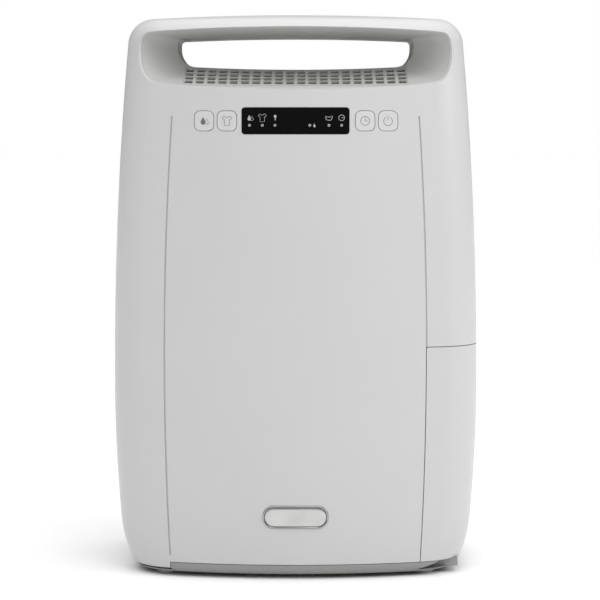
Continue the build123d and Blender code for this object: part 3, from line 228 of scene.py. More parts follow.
def metal(name, colour, roughness, lines=(400, 400, 400), depth=0.004, spots=0.06, edge=0.25):
    """A metal finish: brushed or drawn along the axis whose number in lines is small, with
    duller spots and polished corners."""
    finish = bpy.data.materials.new(name)
    finish.use_nodes = True
    tree = finish.node_tree.nodes
    links = finish.node_tree.links
    shader = tree["Principled BSDF"]
    shader.inputs["Metallic"].default_value = 1.0
    place = tree.new("ShaderNodeTexCoord")

    tarnish = tree.new("ShaderNodeTexNoise")
    tarnish.inputs["Scale"].default_value = 60
    tarnish.inputs["Detail"].default_value = 6
    links.new(place.outputs["Object"], tarnish.inputs["Vector"])
    tint = tree.new("ShaderNodeValToRGB")
    tint.color_ramp.elements[0].position = 0.35
    tint.color_ramp.elements[1].position = 0.65
    tint.color_ramp.elements[0].color = (*(c * (1 - spots) for c in colour), 1)
    tint.color_ramp.elements[1].color = (*(min(1.0, c * (1 + spots)) for c in colour), 1)
    links.new(tarnish.outputs["Fac"], tint.inputs["Fac"])
    links.new(tint.outputs["Color"], shader.inputs["Base Color"])

    sheen = tree.new("ShaderNodeMapRange")
    sheen.inputs["From Min"].default_value = 0.3
    sheen.inputs["From Max"].default_value = 0.7
    sheen.inputs["To Min"].default_value = roughness * 1.2
    sheen.inputs["To Max"].default_value = roughness * 0.85
    links.new(tarnish.outputs["Fac"], sheen.inputs["Value"])
    links.new(sheen.outputs["Result"], shader.inputs["Roughness"])

    stretch = tree.new("ShaderNodeMapping")
    stretch.inputs["Scale"].default_value = lines
    links.new(place.outputs["Object"], stretch.inputs["Vector"])
    brush = tree.new("ShaderNodeTexNoise")
    brush.inputs["Scale"].default_value = 5
    brush.inputs["Detail"].default_value = 2
    links.new(stretch.outputs["Vector"], brush.inputs["Vector"])
    corner = tree.new("ShaderNodeBevel")
    corner.samples = 4
    corner.inputs["Radius"].default_value = edge * MM
    relief = tree.new("ShaderNodeBump")
    relief.inputs["Distance"].default_value = depth * MM
    links.new(brush.outputs["Fac"], relief.inputs["Height"])
    links.new(corner.outputs["Normal"], relief.inputs["Normal"])
    links.new(relief.outputs["Normal"], shader.inputs["Normal"])
    return finish


can_black = moulded("can_black", (0.022, 0.022, 0.023), 0.38, 1.6, 0.05, tone=0.3, rubbed=0.3)
grommet_rubber = moulded("grommet_rubber", (0.02, 0.02, 0.02), 0.75, 0.3, 0.02, tone=0.2)
terminal_black = moulded("terminal_black", (0.03, 0.03, 0.03), 0.5, 0.4, 0.02, tone=0.1)
bolt_zinc = metal("bolt_zinc", (0.55, 0.55, 0.56), 0.32)
ground_steel = metal("ground_steel", (0.60, 0.60, 0.61), 0.25, lines=(900, 900, 60))
pump_iron = metal("pump_iron", (0.20, 0.20, 0.205), 0.5, depth=0.03, spots=0.2)
finish_nodes(can_black, "compressor_shell", "accumulator")
finish_nodes(grommet_rubber, "compressor_grommets")
finish_nodes(terminal_black, "terminal_cover")
finish_nodes(bolt_zinc, "compressor_bolts")
finish_nodes(ground_steel, "motor_shaft", "compressor_rotor")
finish_nodes(pump_iron, "compressor_pump")

# The stator inside the can is a stack of half-millimetre silicon steel sheets, stamped and
# pinned together, so its side shows fine level lines.
stack_iron = metal("stack_iron", (0.26, 0.26, 0.27), 0.42, lines=(3, 3, 2000), depth=0.08, spots=0.1)
finish_nodes(stack_iron, "compressor_stator")

# ---------------------------------------------------------------- refrigerant pipes and coils
# Suction, discharge and liquid lines and both coils are soft-drawn copper tube, brazed at
# the joints. The dryer is a spun copper can and the capillary a hair-thin coiled tube.
drawn_copper = metal("drawn_copper", (0.72, 0.34, 0.20), 0.28, lines=(60, 60, 60), spots=0.16)
finish_nodes(drawn_copper, "suction_pipe", "discharge_pipe", "liquid_pipe", "capillary_tube",
             "filter_dryer", "evaporator_tubes", "condenser_tubes")

# Each coil's fins are thin aluminium sheet, rippled along their depth to stiffen them, and
# pressed over the tubes at an even pitch by their own collars.
fin_aluminium = metal("fin_aluminium", (0.78, 0.80, 0.82), 0.3, lines=(400, 400, 20))
fin_number = 118
fin_sheet_thickness = 0.14 * MM
fin_ripple = 0.35 * MM
fin_ripple_length = 6.6 * MM
fin_end_gap = 0.6 * MM


def named_tree(name, sizes):
    """A Geometry Nodes tree with a number input for each of sizes."""
    tree = bpy.data.node_groups.new(name, "GeometryNodeTree")
    tree.is_modifier = True
    tree.interface.new_socket("Geometry", in_out="INPUT", socket_type="NodeSocketGeometry")
    tree.interface.new_socket("Geometry", in_out="OUTPUT", socket_type="NodeSocketGeometry")
    for size in sizes:
        kind = "NodeSocketInt" if size.startswith("Number") else "NodeSocketFloat"
        tree.interface.new_socket(size, in_out="INPUT", socket_type=kind)
    tree.interface.new_socket("Finish", in_out="INPUT", socket_type="NodeSocketMaterial")
    return tree, tree.nodes.new("NodeGroupInput"), tree.nodes.new("NodeGroupOutput")


def close_tree(tree, given, result, shape):
    """Ends the tree: what was instanced becomes real, and takes its finish."""
    real = tree.nodes.new("GeometryNodeRealizeInstances")
    coat = tree.nodes.new("GeometryNodeSetMaterial")
    tree.links.new(shape, real.inputs["Geometry"])
    tree.links.new(real.outputs["Geometry"], coat.inputs["Geometry"])
    tree.links.new(given.outputs["Finish"], coat.inputs["Material"])
    tree.links.new(coat.outputs["Geometry"], result.inputs["Geometry"])


def grow(name, tree, values, points=()):
    """A plain mesh object, made by the tree from those values and starting points."""
    start = bpy.data.meshes.new(name + "_start")
    start.from_pydata([tuple(p) for p in points], [], [])
    maker = bpy.data.objects.new(name + "_maker", start)
    bpy.context.collection.objects.link(maker)
    step = maker.modifiers.new("grow", "NODES")
    step.node_group = tree
    for item in tree.interface.items_tree:
        if item.in_out == "INPUT" and item.name in values:
            step[item.identifier] = values[item.name]
    maker.update_tag()
    ready = maker.evaluated_get(bpy.context.evaluated_depsgraph_get())
    mesh = bpy.data.meshes.new_from_object(ready)
    maker.modifiers.remove(step)
    bpy.data.objects.remove(maker)
    mesh.name = name
    piece = bpy.data.objects.new(name, mesh)
    bpy.context.collection.objects.link(piece)
    return piece


fin_tree, fin_given, fin_result = named_tree(
    "coil_fins", ["Number of fins", "Pitch", "Sheet", "Depth", "Height", "Ripple",
                  "Left X", "Middle Y", "Middle Z"])
fin_sheet_size = fin_tree.nodes.new("ShaderNodeCombineXYZ")
fin_tree.links.new(fin_given.outputs["Sheet"], fin_sheet_size.inputs["X"])
fin_tree.links.new(fin_given.outputs["Depth"], fin_sheet_size.inputs["Y"])
fin_tree.links.new(fin_given.outputs["Height"], fin_sheet_size.inputs["Z"])
fin_sheet = fin_tree.nodes.new("GeometryNodeMeshCube")
fin_sheet.inputs["Vertices Y"].default_value = 13
fin_tree.links.new(fin_sheet_size.outputs["Vector"], fin_sheet.inputs["Size"])
fin_at = fin_tree.nodes.new("GeometryNodeInputPosition")
fin_at_split = fin_tree.nodes.new("ShaderNodeSeparateXYZ")
fin_tree.links.new(fin_at.outputs["Position"], fin_at_split.inputs["Vector"])
fin_phase = fin_tree.nodes.new("ShaderNodeMath")
fin_phase.operation = "MULTIPLY"
fin_phase.inputs[1].default_value = 2 * math.pi / fin_ripple_length
fin_tree.links.new(fin_at_split.outputs["Y"], fin_phase.inputs[0])
fin_wave = fin_tree.nodes.new("ShaderNodeMath")
fin_wave.operation = "SINE"
fin_tree.links.new(fin_phase.outputs["Value"], fin_wave.inputs[0])
fin_swing = fin_tree.nodes.new("ShaderNodeMath")
fin_swing.operation = "MULTIPLY"
fin_tree.links.new(fin_wave.outputs["Value"], fin_swing.inputs[0])
fin_tree.links.new(fin_given.outputs["Ripple"], fin_swing.inputs[1])
fin_push = fin_tree.nodes.new("ShaderNodeCombineXYZ")
fin_tree.links.new(fin_swing.outputs["Value"], fin_push.inputs["X"])
fin_rippled = fin_tree.nodes.new("GeometryNodeSetPosition")
fin_tree.links.new(fin_sheet.outputs["Mesh"], fin_rippled.inputs["Geometry"])
fin_tree.links.new(fin_push.outputs["Vector"], fin_rippled.inputs["Offset"])
fin_start = fin_tree.nodes.new("ShaderNodeCombineXYZ")
for fin_source, axis in (("Left X", "X"), ("Middle Y", "Y"), ("Middle Z", "Z")):
    fin_tree.links.new(fin_given.outputs[fin_source], fin_start.inputs[axis])
fin_step = fin_tree.nodes.new("ShaderNodeCombineXYZ")
fin_tree.links.new(fin_given.outputs["Pitch"], fin_step.inputs["X"])
fin_row = fin_tree.nodes.new("GeometryNodeMeshLine")
fin_tree.links.new(fin_given.outputs["Number of fins"], fin_row.inputs["Count"])
fin_tree.links.new(fin_start.outputs["Vector"], fin_row.inputs["Start Location"])
fin_tree.links.new(fin_step.outputs["Vector"], fin_row.inputs["Offset"])
fin_stack = fin_tree.nodes.new("GeometryNodeInstanceOnPoints")
fin_tree.links.new(fin_row.outputs["Mesh"], fin_stack.inputs["Points"])
fin_tree.links.new(fin_rippled.outputs["Geometry"], fin_stack.inputs["Instance"])
close_tree(fin_tree, fin_given, fin_result, fin_stack.outputs["Instances"])

for coil in ("evaporator", "condenser"):
    low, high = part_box(coil + "_fins")
    fin_pack = grow(coil + "_fin_pack", fin_tree, {
        "Number of fins": fin_number,
        "Pitch": (high.x - low.x - 2 * fin_end_gap) / (fin_number - 1),
        "Sheet": fin_sheet_thickness,
        "Depth": high.y - low.y,
        "Height": high.z - low.z,
        "Ripple": fin_ripple,
        "Left X": low.x + fin_end_gap,
        "Middle Y": (low.y + high.y) / 2,
        "Middle Z": (low.z + high.z) / 2,
        "Finish": fin_aluminium})
    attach(fin_pack, "casing")
    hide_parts(coil + "_fins")

# The end plates that hold both coils are zinc-coated sheet with flanged tube holes.
plate_zinc = metal("plate_zinc", (0.60, 0.61, 0.62), 0.36, lines=(120, 120, 120), spots=0.14)
finish_nodes(plate_zinc, "coil_end_plates")

# ---------------------------------------------------------------- inner frame, drip tray and drain
# The frame, the tray under the coil and the drain spout are white polystyrene mouldings that
# nobody sees in use, so they are left with a plain drawn-tool finish. A rubber cap closes
# the spout.
inner_white = moulded("inner_white", (0.62, 0.62, 0.60), 0.5, 0.8, 0.02)
cap_rubber = moulded("cap_rubber", (0.16, 0.16, 0.16), 0.7, 0.3, 0.03, tone=0.1)
finish_nodes(inner_white, "inner_frame", "drip_tray", "drain_spout")
finish_nodes(cap_rubber, "drain_plug")

# ---------------------------------------------------------------- fan
# A forward-curved wheel in black nylon with thirty blades turns on the shaft of a small
# shaded-pole motor, whose can is pressed from zinc-coated sheet. The scroll and the shroud
# that lead the air round it are black polypropylene.
duct_black = moulded("duct_black", (0.05, 0.05, 0.052), 0.55, 0.6, 0.03, tone=0.1)
finish_nodes(duct_black, "fan_scroll", "fan_shroud")
wheel_nylon = moulded("wheel_nylon", (0.035, 0.035, 0.037), 0.45, 0.5, 0.02, tone=0.15)
motor_zinc = metal("motor_zinc", (0.58, 0.59, 0.60), 0.34, lines=(90, 90, 90), spots=0.12)
finish_nodes(wheel_nylon, "fan_wheel")
finish_nodes(motor_zinc, "fan_motor", "motor_mount")

# ---------------------------------------------------------------- leads, capacitor and sensors
# Leads are stranded wire in black sheath. The run capacitor is a drawn aluminium can, and
# the level and humidity sensors are small black mouldings clipped to the frame.
sheath_black = moulded("sheath_black", (0.025, 0.025, 0.025), 0.42, 0.6, 0.01, tone=0.2)
can_aluminium = metal("can_aluminium", (0.76, 0.77, 0.79), 0.3, lines=(500, 500, 20))
gland_grey = moulded("gland_grey", (0.12, 0.12, 0.12), 0.55, 0.4, 0.02, tone=0.1)
finish_nodes(sheath_black, "mains_lead", "motor_lead", "compressor_lead")
finish_nodes(can_aluminium, "run_capacitor")
finish_nodes(terminal_black, "level_sensor", "humidity_sensor")
finish_nodes(gland_grey, "cord_gland")

# ---------------------------------------------------------------- circuit boards
# Glass-filled epoxy boards under green solder mask, with tinned copper tracks showing
# through as paler lines. The mains board stands in a flame-proof white box.


def board_finish(name, mask, track):
    """A board's mask with its tracks, on a squared pattern of about five millimetres."""
    finish = bpy.data.materials.new(name)
    finish.use_nodes = True
    tree = finish.node_tree.nodes
    links = finish.node_tree.links
    shader = tree["Principled BSDF"]
    shader.inputs["Roughness"].default_value = 0.35
    place = tree.new("ShaderNodeTexCoord")
    cells = tree.new("ShaderNodeTexVoronoi")
    cells.distance = "MANHATTAN"
    cells.feature = "DISTANCE_TO_EDGE"
    cells.inputs["Scale"].default_value = 1 / (5 * MM)
    cells.inputs["Randomness"].default_value = 0.6
    links.new(place.outputs["Object"], cells.inputs["Vector"])
    tracks = tree.new("ShaderNodeValToRGB")
    tracks.color_ramp.interpolation = "CONSTANT"
    tracks.color_ramp.elements[0].color = (*track, 1)
    tracks.color_ramp.elements[1].position = 0.09
    tracks.color_ramp.elements[1].color = (*mask, 1)
    links.new(cells.outputs["Distance"], tracks.inputs["Fac"])
    links.new(tracks.outputs["Color"], shader.inputs["Base Color"])
    relief = tree.new("ShaderNodeBump")
    relief.inputs["Distance"].default_value = 0.04 * MM
    relief.invert = True
    links.new(cells.outputs["Distance"], relief.inputs["Height"])
    links.new(relief.outputs["Normal"], shader.inputs["Normal"])
    return finish


board_green = board_finish("board_green", (0.012, 0.10, 0.035), (0.04, 0.20, 0.08))
finish_nodes(board_green, "control_board", "power_board")
finish_nodes(inner_white, "electronics_box")

# ---------------------------------------------------------------- water tank and float
# The tank is moulded in clear-grey polypropylene that lets some light through. A lid snaps
# over its rim, and a foam float swings on a pin with a magnet for the level switch.
tank_clear = moulded("tank_clear", (0.60, 0.64, 0.66), 0.32, 2.5, 0.03, tone=0.03, edge=0.5)
tank_shader = tank_clear.node_tree.nodes["Principled BSDF"]
tank_shader.inputs["Transmission Weight"].default_value = 0.45
tank_shader.inputs["IOR"].default_value = 1.49
float_foam = moulded("float_foam", (0.75, 0.74, 0.68), 0.85, 0.6, 0.12, tone=0.06, edge=0.6)
magnet_grey = metal("magnet_grey", (0.22, 0.22, 0.23), 0.45, spots=0.1)
finish_nodes(tank_clear, "tank")
finish_nodes(inner_white, "tank_lid")
finish_nodes(float_foam, "tank_float")
finish_nodes(magnet_grey, "float_magnet")
finish_nodes(bolt_zinc, "float_pin")

# ---------------------------------------------------------------- white casing
# Front and rear covers and the tank's outer skin are injection-moulded in white ABS from
# polished tools: a satin gloss with the faintest flow ripple, softly rounded at each seam.
casing_white = moulded("casing_white", (0.58, 0.58, 0.58), 0.34, 6.0, 0.02, tone=0.008,
                       edge=0.5, rubbed=0.05)
casing_shells = ("front_cover", "rear_cover", "tank_skin")
finish_nodes(casing_white, *casing_shells)


def even_shading(name, crease=22):
    """Shades a node by its larger faces, so that slivers beside its seams don't show. An
    edge that turns more than crease, in degrees, stays sharp."""
    mesh = nodes[name].data
    face_normals = np.empty(len(mesh.polygons) * 3)
    mesh.polygons.foreach_get("normal", face_normals)
    face_normals = face_normals.reshape(-1, 3)
    face_areas = np.empty(len(mesh.polygons))
    mesh.polygons.foreach_get("area", face_areas)
    points = np.empty(len(mesh.vertices) * 3)
    mesh.vertices.foreach_get("co", points)
    spots = np.unique(points.reshape(-1, 3).round(6), axis=0, return_inverse=True)[1].ravel()
    corner_faces = np.repeat(np.arange(len(mesh.polygons)), [p.loop_total for p in mesh.polygons])
    corner_points = np.empty(len(mesh.loops), dtype=int)
    mesh.loops.foreach_get("vertex_index", corner_points)
    corner_spots = spots[corner_points]
    order = np.argsort(corner_spots, kind="stable")
    starts = np.flatnonzero(np.diff(corner_spots[order], prepend=-1))
    shading = np.empty((len(mesh.loops), 3))
    for corners in np.split(order, starts[1:]):
        around = face_normals[corner_faces[corners]]
        near = (around @ around.T > math.cos(math.radians(crease))) * face_areas[corner_faces[corners]]
        shading[corners] = near @ around
    shading /= np.maximum(np.linalg.norm(shading, axis=1, keepdims=True), 1e-12)
    mesh.normals_split_custom_set(shading.tolist())


for shell in casing_shells:
    even_shading(shell)

# ---------------------------------------------------------------- handle and air outlet
# The carrying handle is a warm grey liner in two halves, front and back, that meet in the
# throat. Its floor carries the outlet grille, four rows of twenty slots.
liner_grey = moulded("liner_grey", (0.50, 0.497, 0.488), 0.6, 0.45, 0.03, tone=0.015, edge=0.4)
finish_nodes(liner_grey, "handle_liner_front", "handle_liner_rear", "outlet_grille")

# ---------------------------------------------------------------- air filter
# The filter drops into the back of the machine: a white slotted frame over a net of fine
# black polypropylene thread, about sixteen meshes to the inch, welded in round its rim.
finish_nodes(casing_white, "filter_frame")
net_black = moulded("net_black", (0.03, 0.03, 0.033), 0.55, 0.4, 0.01, tone=0.15, edge=0.05)

net_tree, net_given, net_result = named_tree(
    "filter_net_threads", ["Number across", "Number up", "Pitch across", "Pitch up",
                           "Thread", "Width", "Height", "Left X", "Low Z", "Face Y"])
net_layers = net_tree.nodes.new("GeometryNodeJoinGeometry")
for number, pitch, length, step_axis, length_axis, thread_turn, layer_depth in (
        ("Number across", "Pitch across", "Height", "X", "Z", 0, 0),
        ("Number up", "Pitch up", "Width", "Z", "X", math.pi / 2, 1.6)):
    net_start = net_tree.nodes.new("ShaderNodeCombineXYZ")
    net_tree.links.new(net_given.outputs["Left X"], net_start.inputs["X"])
    net_tree.links.new(net_given.outputs["Face Y"], net_start.inputs["Y"])
    net_tree.links.new(net_given.outputs["Low Z"], net_start.inputs["Z"])
    net_step = net_tree.nodes.new("ShaderNodeCombineXYZ")
    net_tree.links.new(net_given.outputs[pitch], net_step.inputs[step_axis])
    net_row = net_tree.nodes.new("GeometryNodeMeshLine")
    net_tree.links.new(net_given.outputs[number], net_row.inputs["Count"])
    net_tree.links.new(net_start.outputs["Vector"], net_row.inputs["Start Location"])
    net_tree.links.new(net_step.outputs["Vector"], net_row.inputs["Offset"])
    net_thread = net_tree.nodes.new("GeometryNodeMeshCylinder")
    net_thread.inputs["Vertices"].default_value = 6
    net_tree.links.new(net_given.outputs["Thread"], net_thread.inputs["Radius"])
    net_tree.links.new(net_given.outputs[length], net_thread.inputs["Depth"])
    net_half = net_tree.nodes.new("ShaderNodeMath")
    net_half.operation = "MULTIPLY"
    net_half.inputs[1].default_value = 0.5
    net_tree.links.new(net_given.outputs[length], net_half.inputs[0])
    net_lift = net_tree.nodes.new("ShaderNodeCombineXYZ")
    net_tree.links.new(net_half.outputs["Value"], net_lift.inputs[length_axis])
    net_depth = net_tree.nodes.new("ShaderNodeMath")
    net_depth.operation = "MULTIPLY"
    net_depth.inputs[1].default_value = layer_depth
    net_tree.links.new(net_given.outputs["Thread"], net_depth.inputs[0])
    net_tree.links.new(net_depth.outputs["Value"], net_lift.inputs["Y"])
    net_turned = net_tree.nodes.new("GeometryNodeTransform")
    net_turned.inputs["Rotation"].default_value = (0, thread_turn, 0)
    net_tree.links.new(net_thread.outputs["Mesh"], net_turned.inputs["Geometry"])
    net_tree.links.new(net_lift.outputs["Vector"], net_turned.inputs["Translation"])
    net_set = net_tree.nodes.new("GeometryNodeInstanceOnPoints")
    net_tree.links.new(net_row.outputs["Mesh"], net_set.inputs["Points"])
    net_tree.links.new(net_turned.outputs["Geometry"], net_set.inputs["Instance"])
    net_tree.links.new(net_set.outputs["Instances"], net_layers.inputs["Geometry"])
close_tree(net_tree, net_given, net_result, net_layers.outputs["Geometry"])

low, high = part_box("filter_mesh")
net_pitch = 1.6 * MM
net_thread_radius = 0.2 * MM
net_face_gap = 0.24 * MM
threads_across = int((high.x - low.x) / net_pitch)
threads_up = int((high.z - low.z) / net_pitch)
filter_net = grow("filter_net", net_tree, {
    "Number across": threads_across + 1,
    "Number up": threads_up + 1,
    "Pitch across": (high.x - low.x) / threads_across,
    "Pitch up": (high.z - low.z) / threads_up,
    "Thread": net_thread_radius,
    "Width": high.x - low.x,
    "Height": high.z - low.z,
    "Left X": low.x,
    "Low Z": low.z,
    "Face Y": low.y + net_face_gap,
    "Finish": net_black})
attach(filter_net, "air_filter")
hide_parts("filter_mesh")

# ---------------------------------------------------------------- casing screws
# Six pan-head thread-forming screws with a cross recess go in from behind, each at the
# bottom of a moulded well, and pull the two covers together.
screw_tree, screw_given, screw_result = named_tree(
    "cross_recess_screws", ["Head radius", "Head height", "Shank radius", "Shank length",
                            "Recess width", "Recess depth"])
screw_head = screw_tree.nodes.new("GeometryNodeMeshCylinder")
screw_head.inputs["Vertices"].default_value = 32
screw_tree.links.new(screw_given.outputs["Head radius"], screw_head.inputs["Radius"])
screw_tree.links.new(screw_given.outputs["Head height"], screw_head.inputs["Depth"])
screw_cut = screw_tree.nodes.new("GeometryNodeMeshBoolean")
screw_cut.operation = "DIFFERENCE"
screw_tree.links.new(screw_head.outputs["Mesh"], screw_cut.inputs["Mesh 1"])
for turn in (0, math.pi / 2):
    screw_bar_size = screw_tree.nodes.new("ShaderNodeCombineXYZ")
    screw_tree.links.new(screw_given.outputs["Head radius"], screw_bar_size.inputs["X"])
    screw_tree.links.new(screw_given.outputs["Recess width"], screw_bar_size.inputs["Y"])
    screw_tree.links.new(screw_given.outputs["Recess depth"], screw_bar_size.inputs["Z"])
    screw_bar = screw_tree.nodes.new("GeometryNodeMeshCube")
    screw_tree.links.new(screw_bar_size.outputs["Vector"], screw_bar.inputs["Size"])
    screw_bar_lift = screw_tree.nodes.new("ShaderNodeCombineXYZ")
    screw_half = screw_tree.nodes.new("ShaderNodeMath")
    screw_half.operation = "MULTIPLY"
    screw_half.inputs[1].default_value = 0.5
    screw_tree.links.new(screw_given.outputs["Head height"], screw_half.inputs[0])
    screw_tree.links.new(screw_half.outputs["Value"], screw_bar_lift.inputs["Z"])
    screw_bar_set = screw_tree.nodes.new("GeometryNodeTransform")
    screw_bar_set.inputs["Rotation"].default_value = (0, 0, turn)
    screw_tree.links.new(screw_bar.outputs["Mesh"], screw_bar_set.inputs["Geometry"])
    screw_tree.links.new(screw_bar_lift.outputs["Vector"], screw_bar_set.inputs["Translation"])
    screw_tree.links.new(screw_bar_set.outputs["Geometry"], screw_cut.inputs["Mesh 2"])
screw_shank = screw_tree.nodes.new("GeometryNodeMeshCylinder")
screw_shank.inputs["Vertices"].default_value = 16
screw_tree.links.new(screw_given.outputs["Shank radius"], screw_shank.inputs["Radius"])
screw_tree.links.new(screw_given.outputs["Shank length"], screw_shank.inputs["Depth"])
screw_drop = screw_tree.nodes.new("ShaderNodeMath")
screw_drop.operation = "MULTIPLY"
screw_drop.inputs[1].default_value = -0.5
screw_tree.links.new(screw_given.outputs["Shank length"], screw_drop.inputs[0])
screw_below = screw_tree.nodes.new("ShaderNodeCombineXYZ")
screw_tree.links.new(screw_drop.outputs["Value"], screw_below.inputs["Z"])
screw_shank_set = screw_tree.nodes.new("GeometryNodeTransform")
screw_tree.links.new(screw_shank.outputs["Mesh"], screw_shank_set.inputs["Geometry"])
screw_tree.links.new(screw_below.outputs["Vector"], screw_shank_set.inputs["Translation"])
screw_whole = screw_tree.nodes.new("GeometryNodeJoinGeometry")
screw_tree.links.new(screw_cut.outputs["Mesh"], screw_whole.inputs["Geometry"])
screw_tree.links.new(screw_shank_set.outputs["Geometry"], screw_whole.inputs["Geometry"])
screw_laid = screw_tree.nodes.new("GeometryNodeTransform")
screw_laid.inputs["Rotation"].default_value = (-math.pi / 2, 0, 0)
screw_tree.links.new(screw_whole.outputs["Geometry"], screw_laid.inputs["Geometry"])
screw_each = screw_tree.nodes.new("GeometryNodeInstanceOnPoints")
screw_tree.links.new(screw_given.outputs["Geometry"], screw_each.inputs["Points"])
screw_tree.links.new(screw_laid.outputs["Geometry"], screw_each.inputs["Instance"])
close_tree(screw_tree, screw_given, screw_result, screw_each.outputs["Instances"])

low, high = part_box("casing_screws")
head_height = 2.2 * MM
side_screws = [(119.5, 30.0), (123.5, 213.5), (119.5, 430.9)]
screw_points = [(sign * x * MM, high.y - head_height / 2, z * MM)
                for x, z in side_screws for sign in (-1, 1)]
casing_screw_set = grow("casing_screw_set", screw_tree, {
    "Head radius": 3.3 * MM,
    "Head height": head_height,
    "Shank radius": 1.5 * MM,
    "Shank length": high.y - low.y - head_height / 2,
    "Recess width": 0.9 * MM,
    "Recess depth": 2.4 * MM,
    "Finish": bolt_zinc}, screw_points)
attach(casing_screw_set, "casing")
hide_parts("casing_screws")

# ---------------------------------------------------------------- keys
# Four satin white ABS keys sit in close-fitting windows beside the display. Each carries a
# thin grey pad-printed sign: drops, a shirt, a clock and the power sign.
key_white = moulded("key_white", (0.60, 0.60, 0.60), 0.34, 1.2, 0.01, tone=0.01, edge=0.6,
                    rubbed=0.05)
finish_nodes(key_white, "humidity_button", "laundry_button", "timer_button", "power_button")
print_grey = moulded("print_grey", (0.13, 0.13, 0.13), 0.5, 0.3, 0.002, tone=0.05, edge=0.02)
key_line = 0.52


def line_sign(sign, path, width, closed=False):
    """Adds a printed line of that width, in millimetres, along a path of (x, z) points."""
    count = len(path)
    rim = []
    for index, (x, z) in enumerate(path):
        before = path[index - 1] if closed or index > 0 else path[index]
        after = path[(index + 1) % count] if closed or index < count - 1 else path[index]
        along = Vector((after[0] - before[0], after[1] - before[1])).normalized()
        side = Vector((-along.y, along.x)) * width / 2
        rim.append((sign.verts.new((x + side.x, 0, z + side.y)),
                    sign.verts.new((x - side.x, 0, z - side.y))))
    for index in range(count if closed else count - 1):
        left, right = rim[index]
        next_left, next_right = rim[(index + 1) % count]
        sign.faces.new((left, right, next_right, next_left))


def patch_sign(sign, outline):
    """Adds a filled printed patch with that outline of (x, z) points, in millimetres."""
    sign.faces.new([sign.verts.new((x, 0, z)) for x, z in outline])


def arc(centre_x, centre_z, radius, start, end, count):
    """Points on an arc, from start to end degrees anticlockwise from the right."""
    steps = [math.radians(start + (end - start) * i / (count - 1)) for i in range(count)]
    return [(centre_x + radius * math.cos(t), centre_z + radius * math.sin(t)) for t in steps]


def drop(centre_x, low_z, radius, height, count=20):
    """A drop's outline: round below, drawn to a point at the top."""
    centre_z = low_z + radius
    lean = math.degrees(math.asin(radius / (height - radius)))
    return arc(centre_x, centre_z, radius, 180 - lean, 360 + lean, count) + [
        (centre_x, low_z + height)]


def shirt(middle_x, middle_z, size):
    """A short-sleeved shirt's outline, size across the sleeves."""
    half = [(0.16, 0.42), (0.30, 0.48), (0.50, 0.26), (0.38, 0.10), (0.27, 0.17), (0.27, -0.48)]
    right = [(x * size, z * size) for x, z in half]
    left = [(-x, z) for x, z in reversed(right)]
    neck = [(-0.08 * size, 0.32 * size), (0.08 * size, 0.32 * size)]
    return [(middle_x + x, middle_z + z) for x, z in right + left + neck]


def print_sign(name, sign, node, body, finish, proud=0.03):
    """Lays a sign on that CAD node's front face and gives it a film's thickness."""
    face = BVHTree.FromPolygons([v.co for v in nodes[node].data.vertices],
                                [tuple(p.vertices) for p in nodes[node].data.polygons])
    bmesh.ops.recalc_face_normals(sign, faces=sign.faces)
    film = bmesh.ops.extrude_face_region(sign, geom=list(sign.faces))
    lifted = {v for v in film["geom"] if isinstance(v, bmesh.types.BMVert)}
    for vertex in sign.verts:
        x, z = vertex.co.x * MM, vertex.co.z * MM
        hit = face.ray_cast(Vector((x, -1, z)), Vector((0, 1, 0)))[0]
        vertex.co = (x, hit.y - (proud * MM if vertex in lifted else 0), z)
    bmesh.ops.recalc_face_normals(sign, faces=sign.faces)
    mesh = bpy.data.meshes.new(name)
    sign.to_mesh(mesh)
    sign.free()
    mesh.materials.append(finish)
    piece = bpy.data.objects.new(name, mesh)
    bpy.context.collection.objects.link(piece)
    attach(piece, body)
    return piece


key_middle = {}
for key in ("humidity", "laundry", "timer", "power"):
    low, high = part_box(key + "_button")
    key_middle[key] = ((low.x + high.x) / 2 / MM, (low.z + high.z) / 2 / MM)

key_x, key_z = key_middle["humidity"]
humidity_sign = bmesh.new()
patch_sign(humidity_sign, drop(key_x - 0.9, key_z - 3.4, 2.2, 7.0))
line_sign(humidity_sign, drop(key_x + 2.3, key_z - 3.0, 1.5, 5.2), 0.45, closed=True)
humidity_print = print_sign("humidity_print", humidity_sign, "humidity_button",
                            "humidity_key", print_grey)

key_x, key_z = key_middle["laundry"]
laundry_sign = bmesh.new()
line_sign(laundry_sign, shirt(key_x, key_z, 8.6), key_line, closed=True)
laundry_print = print_sign("laundry_print", laundry_sign, "laundry_button",
                           "laundry_key", print_grey)

key_x, key_z = key_middle["timer"]
timer_sign = bmesh.new()
line_sign(timer_sign, arc(key_x, key_z, 3.9, 0, 350, 36), key_line, closed=True)
line_sign(timer_sign, [(key_x, key_z + 2.7), (key_x, key_z), (key_x + 2.3, key_z)], key_line)
timer_print = print_sign("timer_print", timer_sign, "timer_button", "timer_key", print_grey)

key_x, key_z = key_middle["power"]
power_sign = bmesh.new()
line_sign(power_sign, arc(key_x, key_z - 0.3, 3.9, 122, 418, 32), key_line)
line_sign(power_sign, [(key_x, key_z + 4.4), (key_x, key_z + 0.4)], key_line)
power_print = print_sign("power_print", power_sign, "power_button", "power_key", print_grey)

# ---------------------------------------------------------------- display
# A polished smoked acrylic window, heat-staked in its opening. The signs are screen-printed
# on it in pale grey: what is being done above, and a small lamp mark under each.
window_black = moulded("window_black", (0.002, 0.002, 0.002), 0.12, 8.0, 0.004, tone=0.2,
                       edge=0.4, rubbed=0.02)
window_shader = window_black.node_tree.nodes["Principled BSDF"]
window_shader.inputs["Specular IOR Level"].default_value = 0.25
finish_nodes(window_black, "display_window")
print_pale = moulded("print_pale", (0.42, 0.42, 0.42), 0.5, 0.3, 0.002, tone=0.05, edge=0.02)

